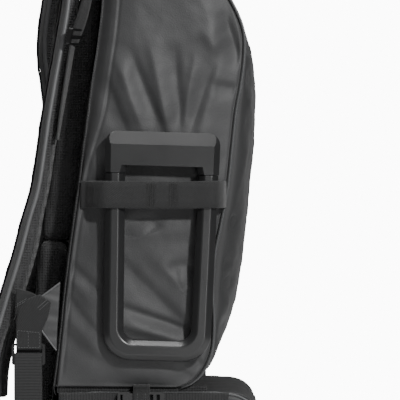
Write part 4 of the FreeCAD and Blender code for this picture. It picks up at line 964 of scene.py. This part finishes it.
def lower_harness():
    """Wings in the back seams, folded webbing, adjuster tails and strap webbing."""
    for side, sign in (("left", -1), ("right", 1)):
        out = (sign, 0, 0)
        x = sign * 148.3

        def at(y, z, lift=0.0):
            return (x + sign * lift, y, z)

        wing = patch(
            "strap_wing_cloth_" + side,
            [(at(89.7, 213.5), at(90.4, 212.5)), (at(90.2, 204.0, 0.4), at(100.0, 206.0, 1.0)), (at(90.8, 194.0, 0.8), at(108.0, 198.0, 1.2)),
             (at(91.6, 182.0, 0.8), at(108.0, 184.0, 1.2)), (at(92.4, 170.0, 0.4), at(106.0, 170.5, 1.0)), (at(93.0, 153.5), at(93.8, 152.5))],
            1.2, out, "bag", TARP_SIDE, 30, 70, 0.6, 2.0,
        )
        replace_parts(wing, "strap_wing_" + side)
        for k, line in enumerate((
            [at(90.0, 213.5, 1.0), at(96.0, 209.0, 1.8), at(108.0, 200.0, 2.2)],
            [at(107.6, 172.0, 2.0), at(101.0, 163.0, 1.6), at(93.2, 152.6, 1.0)],
        )):
            tube("wing_hem_%s_%d" % (side, k), smooth_line(line, 40), 0.75, "bag", BINDING, 8)
        base = sign * 150.6

        def on(y, z, lift=0.0):
            return (base + sign * lift, y, z)

        folded = patch(
            "harness_fold_" + side,
            [(on(98.0, 196.5), on(108.0, 203.0)), (on(99.0, 190.0, 0.5), on(118.0, 199.5, 0.4)), (on(101.0, 182.0, 0.8), on(126.4, 192.0, 0.3)),
             (on(104.5, 174.0, 0.6), on(129.3, 178.0, 0.2)), (on(106.4, 168.0, 0.2), on(129.6, 168.0)), (on(106.5, 153.6), on(129.5, 153.6))],
            1.4, out, "bag", WEB, 30, 90,
        )
        over = patch(
            "harness_overlap_" + side,
            [(on(129.6, 209.0, -1.4), on(129.9, 208.0, -1.4)), (on(114.0, 204.0, -1.6), on(130.0, 203.0, -1.4)), (on(110.0, 200.0, -1.8), on(130.2, 192.0, -1.4)),
             (on(116.0, 194.0, -1.8), on(130.2, 184.0, -1.4))],
            1.3, out, "bag", WEB, 20, 40,
        )
        tail = patch(
            "harness_tail_" + side,
            [(on(106.5, 150.2), on(131.4, 150.2)), (on(106.3, 130.0, 0.5), on(131.4, 130.0, 0.7)), (on(106.1, 100.0, 0.2), on(131.3, 100.0)),
             (on(106.0, 70.0, -0.2), on(131.1, 70.0, 0.5)), (on(106.0, 34.0), on(131.0, 34.0))],
            1.4, out, "bag", WEB_RIBBED, 26, 130,
        )
        # Webbing through the adjuster in the darker webbing copy: painted shade in the slot.
        through = patch(
            "harness_through_" + side,
            [(on(106.9, 154.4, -1.6), on(129.7, 154.4, -1.6)), (on(106.9, 152.6, -4.6), on(129.7, 152.6, -4.6)), (on(106.9, 149.0, -5.8), on(130.2, 149.0, -5.8)),
             (on(106.6, 146.0, -4.6), on(131.0, 146.0, -4.6)), (on(106.5, 143.8, -1.6), on(131.2, 143.8, -1.6))],
            1.2, out, "bag", WEB_SHADED, 20, 40,
        )
        for obj in (folded, over, tail, through):
            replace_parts(obj, "harness_webbing_" + side)
        spots = []
        box = [on(108.2, 168.6, 1.5), on(128.2, 170.6, 1.5), on(128.2, 155.4, 1.5), on(108.2, 155.0, 1.5), on(108.2, 168.6, 1.5)]
        spots += thread_path(box, out, 2.4)
        spots += thread_row(on(118.5, 169.4, 1.6), on(118.5, 155.4, 1.6), out, 2.4)
        spots += thread_row(on(100.5, 196.0, 1.8), on(108.5, 189.0, 1.8), out, 1.4)
        spots += thread_row(on(102.0, 198.0, 1.8), on(110.0, 191.0, 1.8), out, 1.4)
        for shift in range(6):
            spots += thread_row(on(120.0 + shift * 1.5, 200.0 - shift * 0.9, 1.6), on(123.0 + shift * 1.5, 195.0 - shift * 0.9, 1.6), out, 2.0)
        stitches("harness_stitches_" + side, spots, "bag", THREAD, (1.9, 0.55, 0.3))
        points = [
            (sign * 112.0, 153.0, 93.0), (sign * 112.0, 145.0, 74.0), (sign * 115.0, 132.0, 66.0), (sign * 121.0, 122.0, 74.0),
            (sign * 129.0, 118.3, 92.0), (sign * 138.0, 118.3, 114.0), (sign * 143.0, 118.5, 138.0),
        ]
        across = [(1, 0, 0), (1, 0, 0), (0.98, 0.15 * sign, 0), (0.9, 0.4 * sign, 0), (0.6, 0.8 * sign, 0), (0.25, 0.97 * sign, 0), (0, sign, 0)]
        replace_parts(ribbon("lower_webbing_strap_" + side, points, across, 24.0, 1.4, "bag", WEB, 120), "lower_webbing_" + side)


side_straps()
shoulder_straps()
lifters()
lower_harness()

# ---------------------------------------------------------------- tackle base

BASE_SIDE = [
    (-93.5, 7.6, 0.0), (-95.0, 20.0, 0.0), (-89.2, 93.0, 8.0), (-84.0, 105.0, 10.0), (-70.0, 112.8, 10.0),
    (-50.0, 115.0, 0.0), (60.0, 115.0, 0.0), (86.0, 112.0, 10.0), (95.5, 98.0, 10.0), (95.5, 24.0, 10.0), (86.0, 7.6, 0.0),
]
BASE_WRAP = [
    (-88.4, 98.9), (-85.8, 104.0), (-79.0, 110.5), (-68.0, 114.6), (-50.0, 115.0), (-20.0, 115.0), (20.0, 115.0),
    (60.0, 115.0), (82.0, 114.0), (91.5, 108.5), (95.2, 98.0), (95.6, 60.0), (95.4, 24.0), (93.2, 12.0), (88.0, 8.2),
]


def rounded_outline(points, count):
    """Closed outline with its corners eased, as evenly spaced points."""
    pts = []
    n = len(points)
    for k in range(n):
        p = np.array(points[k][:2])
        a = np.array(points[k - 1][:2])
        b = np.array(points[(k + 1) % n][:2])
        r = max(points[k][2], 1.5)
        to_a, to_b = a - p, b - p
        la, lb = np.linalg.norm(to_a), np.linalg.norm(to_b)
        cut = min(r * 0.6, la * 0.45, lb * 0.45)
        p0, p1 = p + to_a / la * cut, p + to_b / lb * cut
        for t in np.linspace(0, 1, 7):
            pts.append((1 - t) ** 2 * p0 + 2 * t * (1 - t) * p + t * t * p1)
    pts = np.array(pts + [pts[0]])
    where = np.concatenate([[0.0], np.cumsum(np.linalg.norm(np.diff(pts, axis=0), axis=1))])
    wanted = np.linspace(0, where[-1], count, endpoint=False)
    return np.column_stack([np.interp(wanted, where, pts[:, 0]), np.interp(wanted, where, pts[:, 1])])


def base_sides():
    """End walls of the base: slightly crowned cloth turning over into the edge piping."""
    for side, sign in (("left", -1), ("right", 1)):
        count, rings = 320, 22
        edge = rounded_outline(BASE_SIDE, count)
        middle = edge.mean(axis=0)
        shares = np.linspace(0, 1, rings) ** 0.7
        verts = []
        for share in shares:
            flat = middle * (1 - share) + edge * share
            far = np.linalg.norm(edge - flat, axis=1)
            wave = ripple(np.column_stack([np.full(count, sign * 9.0), flat]), 34.0, 61, 2)
            lift = 0.4 + (0.9 * wave + 0.5) * smoothstep(0, 14, far) - 1.9 * (1 - smoothstep(0, 5, far)) ** 2
            for p, h in zip(flat, lift):
                verts.append((sign * (155.0 + h - 0.6), p[0], p[1]))
        front = len(verts)
        for share in shares:
            flat = middle * (1 - share) + edge * share * 0.997
            for p in flat:
                verts.append((sign * 152.2, p[0], p[1]))
        faces = []
        for r in range(rings - 1):
            for k in range(count):
                a, b = r * count + k, r * count + (k + 1) % count
                if r == 0:
                    faces.append((0, a + count, b + count))
                    faces.append((front, b + count + front, a + count + front))
                else:
                    faces.append((a, b, b + count, a + count))
                    faces.append((a + front, a + count + front, b + count + front, b + front))
        last = (rings - 1) * count
        for k in range(count):
            a, b = last + k, last + (k + 1) % count
            faces.append((a, b, b + front, a + front))
        keep = [0] + list(range(count, front)) + [front] + list(range(front + count, 2 * front))
        where = {v: i for i, v in enumerate(keep)}
        faces = [tuple(where[i] for i in f) for f in faces]
        obj = finish_mesh("base_end_" + side, [verts[i] for i in keep], faces, "bag", TARP_BASE)
        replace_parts(obj, "base_side_" + side)
        loop = rounded_outline(BASE_SIDE, 300)
        bead = np.column_stack([np.full(300, sign * 153.6), loop[:, 0], loop[:, 1]])
        centre = bead.mean(axis=0)
        inward = (centre - bead) * [0, 1, 1]
        inward /= np.linalg.norm(inward, axis=1)[:, None]
        bead = bead + inward * 0.4
        verts = []
        tangent = np.roll(bead, -1, axis=0) - np.roll(bead, 1, axis=0)
        tangent /= np.linalg.norm(tangent, axis=1)[:, None]
        for p, t in zip(bead, tangent):
            across = np.cross(t, (1, 0, 0))
            for k in range(10):
                a = 2 * math.pi * k / 10
                verts.append(p + np.array((1.0, 0, 0)) * math.cos(a) * 1.25 + across * math.sin(a) * 1.25)
        finish_mesh("base_edge_piping_" + side, verts, grid_faces(300, 10, True, True), "bag", PIPING)


def base_wrap():
    """Top and back of the base in one wrapped sheet, slightly hollow between its edges."""
    line = smooth_line(BASE_WRAP, 190)
    tangent = np.gradient(line, axis=0)
    tangent /= np.linalg.norm(tangent, axis=1)[:, None]
    out = np.column_stack([-tangent[:, 1], tangent[:, 0]])
    nx = 120
    x = np.linspace(-152.0, 152.0, nx)
    outer = np.empty((nx, len(line), 3))
    inner = np.empty((nx, len(line), 3))
    run = lengths(np.column_stack([line, np.zeros(len(line))]))
    for i, value in enumerate(x):
        points = np.column_stack([np.full(len(line), value), line])
        wave = ripple(points, 46.0, 71, 2) * 1.1 - 0.5
        edge = 152.0 - abs(value)
        fade = smoothstep(0, 10, edge) * smoothstep(0, 5, run) * smoothstep(0, 5, run[-1] - run)
        shift = wave * fade
        outer[i] = np.column_stack([points[:, 0], line + out * shift[:, None]])
        inner[i] = np.column_stack([points[:, 0], line + out * (shift - 1.8)[:, None]])
    obj = sheet_solid("base_wrap_cloth", outer, inner, "bag", TARP_BASE)
    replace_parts(obj, "base_wrap_panel")


def base_seam_tapes():
    """Dark tapes closing the inner seams of the base: floor to walls and the upright back corners."""
    for side, sign in (("left", -1), ("right", 1)):
        profile = ((141.0, 7.3), (146.0, 7.4), (149.8, 8.2), (151.3, 11.0), (151.7, 16.0))
        rows = [((sign * x, -84.0, z), (sign * x, 92.0, z)) for x, z in profile]
        patch("base_floor_tape_" + side, rows, 0.6, (-sign * 0.7, 0, 0.7), "bag", MESH, 60, 24)
        profile = ((143.0, 93.0), (148.0, 92.6), (150.9, 90.8), (151.8, 87.0), (151.8, 82.0))
        rows = [((sign * x, y, 8.0), (sign * x, y, 104.0)) for x, y in profile]
        patch("base_corner_tape_" + side, rows, 0.6, (-sign * 0.7, -0.7, 0), "bag", MESH, 60, 24)
        profile = ((141.0, 112.4), (146.0, 112.2), (150.2, 111.2), (151.5, 108.0), (151.7, 103.0))
        rows = [((sign * x, -66.0, z), (sign * x, 78.0, z)) for x, z in profile]
        patch("base_top_tape_" + side, rows, 0.6, (-sign * 0.7, 0, -0.7), "bag", MESH, 60, 24)
    profile = ((80.0, 7.3), (86.0, 7.4), (90.4, 8.4), (92.2, 12.0), (92.9, 18.0))
    rows = [((-150.5, y, z), (150.5, y, z)) for y, z in profile]
    patch("base_floor_tape_back", rows, 0.6, (0, -0.7, 0.7), "bag", MESH, 60, 24)


def flap_point(x, n, h):
    """Point of the flap's frame: n in front is negative, h up the flap from its fold."""
    c, s = math.cos(FLAP_TILT), math.sin(FLAP_TILT)
    return (x, FLAP_HINGE[0] + n * c - h * s, FLAP_HINGE[1] + n * s + h * c)


def arch_path(half, height, corner, low, count):
    pts = [(-half, low), (-half, height - corner)]
    for k in range(1, 10):
        a = math.radians(180 - 90 * k / 10)
        pts.append((-half + corner + corner * math.cos(a), height - corner + corner * math.sin(a)))
    pts += [(-half + corner, height), (half - corner, height)]
    for k in range(1, 10):
        a = math.radians(90 - 90 * k / 10)
        pts.append((half - corner + corner * math.cos(a), height - corner + corner * math.sin(a)))
    pts += [(half, height - corner), (half, low)]
    pts = np.array(pts)
    where = np.concatenate([[0.0], np.cumsum(np.linalg.norm(np.diff(pts, axis=0), axis=1))])
    wanted = np.linspace(0, where[-1], count)
    return np.column_stack([np.interp(wanted, where, pts[:, 0]), np.interp(wanted, where, pts[:, 1])]), wanted


def flap_zip(name, body, node_name, low, high, join_low):
    """Arched zip half: offsets are distances outside the flap's cloth edge."""
    count = 420
    inner_path, run = arch_path(143.0 + low, 76.0 + low, 20.0 + low, 4.0, count)
    outer_path, run_b = arch_path(143.0 + high, 76.0 + high, 20.0 + high, 4.0, count)
    del run_b
    shares = np.linspace(0, 1, 9)
    span = high - low
    ring = []
    for share in shares:
        away = share * span if join_low else (1 - share) * span
        ring.append((share, -0.8 - 0.6 * math.exp(-((away - 1.1) / 0.9) ** 2), away))
    for share in shares[::-1]:
        away = share * span if join_low else (1 - share) * span
        ring.append((share, 0.75, away))
    verts, uvs = [], []
    for i in range(count):
        for share, n, away in ring:
            p = inner_path[i] * (1 - share) + outer_path[i] * share
            verts.append(flap_point(p[0], n, p[1]))
            uvs.append((run[i], away))
    n = len(ring)
    faces = grid_faces(count, n, close_v=True)
    faces.append(tuple(range(n))[::-1])
    faces.append(tuple((count - 1) * n + k for k in range(n)))
    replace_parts(finish_mesh(name, verts, faces, body, ZIP, uvs), node_name)


def base_flap():
    """Drop-down front: cloth over a stiff core, sewn round its rim, folding at the foot."""
    nx, nh = 170, 70
    share = panel_shares(nx)
    t = (1 - np.cos(np.linspace(0, math.pi, nh))) / 2.0
    front = np.empty((nx, nh, 3))
    back = np.empty((nx, nh, 3))
    for i, s in enumerate(share):
        for j, u in enumerate(t):
            h = -0.8 + u * 76.8
            reach = 143.0
            if h > 56.0:
                reach = 123.0 + math.sqrt(max(400.0 - (h - 56.0) ** 2, 0.0))
            x = s * reach
            edge = min(reach - abs(x), 76.0 - h)
            puff = 1.35 * float(smoothstep(0, 10, edge)) * float(smoothstep(-1, 12, h))
            puff += 0.5 * float(smoothstep(2, 20, edge)) * noise.fractal(Vector((x, h * 1.6, 7.0)) / 40.0, 1.0, 2.0, 2)
            groove = 0.5 * math.exp(-((edge - 4.2) / 0.9) ** 2)
            front[i, j] = flap_point(x, -0.35 - puff + groove - 0.6 * float(smoothstep(0, 1.2, edge)), h)
            back[i, j] = flap_point(x * 0.999, 1.3, h)
    obj = sheet_solid("base_flap_cloth", front, back, "flap", TARP_BASE)
    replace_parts(obj, "base_front_flap")
    fold = [flap_point(x, 0.0, 0.0) for x in np.linspace(-142.4, 142.4, 90)]
    radius = 1.75 * np.minimum(1.0, np.minimum(np.arange(90) + 0.6, np.arange(90)[::-1] + 0.6) / 2.0)
    tube("base_flap_fold", fold, radius, "flap", TARP_BASE, 12)
    path, run = arch_path(137.8, 71.6, 15.2, 5.0, 260)
    del run
    spots = []
    for a, b in zip(path[:-1:2], path[1::2]):
        p, q = np.array(flap_point(a[0], -1.75, a[1])), np.array(flap_point(b[0], -1.75, b[1]))
        spots.append(((p + q) / 2, q - p, (0, -1, 0)))
    stitches("base_flap_stitches", spots, "flap", THREAD_DARK, (2.0, 0.45, 0.25))
    flap_zip("base_zip_tape_lower", "flap", "base_zip_lower", 0.15, 3.6, False)
    flap_zip("base_zip_tape_upper", "bag", "base_zip_upper", 4.2, 8.4, True)


def belts():
    """Ribbed belt webbing at both ends of the base and the short link straps."""
    for side, sign in (("left", -1), ("right", 1)):
        x = sign * 155.6
        halves = []
        for label, start, end in (("rear", 38.6, 91.0), ("front", -62.0, 2.0)):
            rows = [((x, y, 90.0), (x, y, 115.0)) for y in np.linspace(start, end, 6)]
            halves.append(patch("belt_%s_%s" % (label, side), rows, 1.3, (sign, 0, 0), "bag", WEB_RIBBED, 24, 90))
        for obj in halves:
            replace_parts(obj, "base_belt_" + side)
        spots = []
        for y in (88.6, -59.6):
            for shift in (0.0, 2.4):
                dy = -shift if y > 0 else shift
                spots += thread_row((x + sign * 1.35, y + dy, 91.5), (x + sign * 1.35, y + dy, 113.5), (sign, 0, 0), 1.8)
        stitches("belt_stitches_" + side, spots, "bag", THREAD_DARK, (1.5, 0.5, 0.3))
        x_out = 164.4
        points = [
            (sign * 151.6, 16.5, 121.6), (sign * 155.5, 16.5, 121.3), (sign * (x_out - 2.4), 16.5, 119.4), (sign * x_out, 16.5, 115.0),
            (sign * x_out, 16.5, 102.0), (sign * x_out, 16.5, 90.0), (sign * (x_out - 4.5), 16.5, 80.0),
            (sign * 157.8, 16.5, 74.0), (sign * 156.8, 16.5, 66.0), (sign * 156.3, 16.5, 52.0),
        ]
        link = ribbon("link_webbing_" + side, points, [(0, 1, 0)] * len(points), 15.0, 1.2, "bag", WEB, 110)
        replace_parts(link, "link_strap_" + side)
        spots = []
        for y in (12.9, 20.1):
            line = [(p[0] + sign * 0.7, y, p[2]) for p in points[3:6]]
            spots += thread_path(line, (sign, 0, 0), 2.2)
        spots += thread_row((sign * 157.1, 11.0, 56.0), (sign * 157.1, 22.0, 56.0), (sign, 0, 0), 1.6)
        stitches("link_stitches_" + side, spots, "bag", THREAD, (1.7, 0.5, 0.3))


base_sides()
base_wrap()
base_seam_tapes()
base_flap()
belts()

# ---------------------------------------------------------------- back and pads

def back_line_at(z):
    """Outer face of the stiffened back at a height."""
    points = [(98.9, 0.0), (98.9, 112.0)] + [(p[0] + 2.3, p[1]) for p in BACK_LINE[1:]]
    return np.interp(z, [p[1] for p in points], [p[0] for p in points])


def back_panel():
    """Harness-side cloth of the upper bag."""
    line = smooth_line([tuple(p) for p in BACK_LINE] + [(50.6, 532.0)], 200)
    nx = 130
    x = np.linspace(-147.8, 147.8, nx)
    outer = np.empty((nx, 200, 3))
    inner = np.empty((nx, 200, 3))
    run = lengths(np.column_stack([line, np.zeros(200)]))
    for i, value in enumerate(x):
        points = np.column_stack([np.full(200, value), line])
        fade = smoothstep(0, 8, 147.8 - abs(value)) * smoothstep(0, 8, run) * smoothstep(0, 8, run[-1] - run)
        shift = 0.9 * ripple(points, 30.0, 81, 2) * fade
        outer[i] = np.column_stack([points[:, 0], line[:, 0] + shift, line[:, 1]])
        inner[i] = np.column_stack([points[:, 0], line[:, 0] + shift - 1.3, line[:, 1]])
    obj = sheet_solid("back_cloth", outer, inner, "bag", MESH)
    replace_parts(obj, "back_panel")


def pad_block(name, x0, x1, z0, z1, thick_low, thick_high, corner):
    """Rounded block following the back's curve, slightly under its finished size."""
    nx, nz = 26, 60
    lift = 0.6
    verts = []
    for side in (0, 1):
        for i in range(nx):
            for j in range(nz):
                u, v = i / (nx - 1), j / (nz - 1)
                x = x0 + (x1 - x0) * u
                z = z0 + (z1 - z0) * v
                ex, ez = min(x - x0, x1 - x), min(z - z0, z1 - z)
                if ex < corner and ez < corner:
                    far = math.hypot(corner - ex, corner - ez)
                    if far > corner:
                        sx = math.copysign(1, (x0 + x1) / 2 - x)
                        sz = math.copysign(1, (z0 + z1) / 2 - z)
                        x += sx * (far - corner) * (corner - ex) / far
                        z += sz * (far - corner) * (corner - ez) / far
                thick = thick_low * (1 - v) + thick_high * v
                y = back_line_at(z) + lift + (thick if side else 0.0)
                if side:
                    e = min(min(u, 1 - u) * (x1 - x0), min(v, 1 - v) * (z1 - z0))
                    y -= 3.0 * (1 - min(e / 5.0, 1.0)) ** 2
                verts.append((x, y, z))
    n = nx * nz
    faces = grid_faces(nx, nz)
    faces += [tuple(reversed([k + n for k in f])) for f in grid_faces(nx, nz)]
    rim = [i * nz for i in range(nx)] + [(nx - 1) * nz + j for j in range(1, nz)]
    rim += [i * nz + nz - 1 for i in range(nx - 2, -1, -1)] + [j for j in range(nz - 2, 0, -1)]
    for k, a in enumerate(rim):
        b = rim[(k + 1) % len(rim)]
        faces.append((a, a + n, b + n, b))
    return finish_mesh(name, verts, faces, None, MESH)


def inflate(obj, cap, frames=16):
    """Short pressure simulation of the cover over its foam, movement limited to cap mm."""
    view = bpy.context.view_layer
    view.objects.active = obj
    obj.select_set(True)
    remesh = obj.modifiers.new("even", "REMESH")
    remesh.mode = "VOXEL"
    remesh.voxel_size = 0.0052
    bpy.ops.object.modifier_apply(modifier=remesh.name)
    obj.data.polygons.foreach_set("use_smooth", [True] * len(obj.data.polygons))
    before = np.empty(len(obj.data.vertices) * 3)
    obj.data.vertices.foreach_get("co", before)
    cloth = obj.modifiers.new("cover", "CLOTH")
    cloth.settings.use_pressure = True
    cloth.settings.uniform_pressure_force = 4.0
    cloth.settings.quality = 6
    cloth.settings.mass = 0.3
    cloth.settings.tension_stiffness = 40.0
    cloth.settings.compression_stiffness = 40.0
    cloth.settings.shear_stiffness = 20.0
    cloth.settings.bending_stiffness = 2.0
    cloth.settings.effector_weights.gravity = 0.0
    cloth.collision_settings.use_collision = False
    for frame_number in range(1, frames + 1):
        bpy.context.scene.frame_set(frame_number)
    bpy.ops.object.modifier_apply(modifier=cloth.name)
    after = np.empty(len(before))
    obj.data.vertices.foreach_get("co", after)
    move = (after - before).reshape(-1, 3)
    size = np.linalg.norm(move, axis=1)[:, None]
    move = move * np.minimum(1.0, cap * MM / np.maximum(size, 1e-9))
    spots = before.reshape(-1, 3)
    backing = back_line_at(spots[:, 2] / MM) * MM + 0.0006
    new = spots + move
    new[:, 1] = np.maximum(new[:, 1], backing)
    obj.data.vertices.foreach_set("co", new.ravel())
    obj.data.update()
    bpy.context.scene.frame_set(1)
    sub = obj.modifiers.new("soft", "SUBSURF")
    sub.levels = 1
    sub.render_levels = 1
    bpy.ops.object.modifier_apply(modifier=sub.name)
    obj.data.polygons.foreach_set("use_smooth", [True] * len(obj.data.polygons))
    obj.select_set(False)
    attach(obj, "bag")


def back_pads():
    """Body-side pads: foam under mesh, puffed by a short cloth simulation."""
    for side, sign in (("left", -1), ("right", 1)):
        x0, x1 = sorted((sign * 21.5, sign * 102.5))
        pad = pad_block("back_cushion_" + side, x0, x1, 249.6, 482.0, 26.0, 18.0, 11.0)
        inflate(pad, 3.0)
        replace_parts(pad, "back_pad_" + side)
    pad = pad_block("lumbar_cushion", -106.0, 106.0, 24.0, 253.4, 11.6, 25.2, 11.0)
    inflate(pad, 3.0)
    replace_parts(pad, "lumbar_pad")


def handle_anchors():
    """Stitched webbing tabs holding the grab handle."""
    tabs = []
    for sign in (-1, 1):
        x = sign * 39.5
        points = [(x, 53.0, 528.8), (x, 55.2, 529.0), (x, 56.2, 526.5), (x, 55.4, 523.8), (x, 53.2, 523.4)]
        tabs.append(ribbon("handle_tab_%s" % ("left" if sign < 0 else "right"), points, [(1, 0, 0)] * 5, 14.6, 1.3, "bag", WEB, 40))
    for tab in tabs:
        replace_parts(tab, "handle_anchors")


def base_link():
    """Strip of cloth joining the base to the upper bag at the back."""
    rows = [((-147.0, y, z), (147.0, y, z)) for y, z in ((93.6, 112.0), (94.6, 114.0), (95.2, 117.0), (95.4, 121.0), (95.0, 124.0))]
    patch("base_link_cloth", rows, 0.9, (0, 1, 0), "bag", MESH, 40, 24)
    for side, sign in (("left", -1), ("right", 1)):
        rows = [((sign * 145.6, -42.0, z), (sign * 145.6, 92.8, z)) for z in (113.9, 115.6, 117.4, 119.2, 120.6)]
        patch("base_link_side_" + side, rows, 0.8, (sign, 0, 0), "bag", MESH, 40, 24)


back_panel()
base_link()
back_pads()
handle_anchors()

for name, material in (
    ("side_loop_bow", LOOP), ("side_loop_crossbar", LOOP), ("adjuster_left", BUCKLE), ("adjuster_right", BUCKLE),
    ("lifter_buckle_left", BUCKLE), ("lifter_buckle_right", BUCKLE), ("buckle_socket_left", BUCKLE),
    ("buckle_socket_right", BUCKLE), ("buckle_prong_left", BUCKLE), ("buckle_prong_right", BUCKLE),
    ("lid_slider_left", METAL), ("lid_slider_right", METAL), ("base_slider", METAL),
    ("lid_pull_left", PULL), ("lid_pull_right", PULL), ("base_pull", PULL), ("grab_handle", GRIP),
    ("rubber_feet", FOOT), ("base_floor", BOARD), ("back_frame_sheet", BOARD),
):
    obj = NODES[name]
    obj.data.materials.clear()
    obj.data.materials.append(material)
    if name.startswith("side_loop"):
        weld = obj.modifiers.new("weld", "WELD")
        weld.merge_threshold = 0.00003
        soft = obj.modifiers.new("soft_edges", "BEVEL")
        soft.width = 0.0011
        soft.segments = 3
        soft.limit_method = "ANGLE"
        soft.angle_limit = math.radians(22)
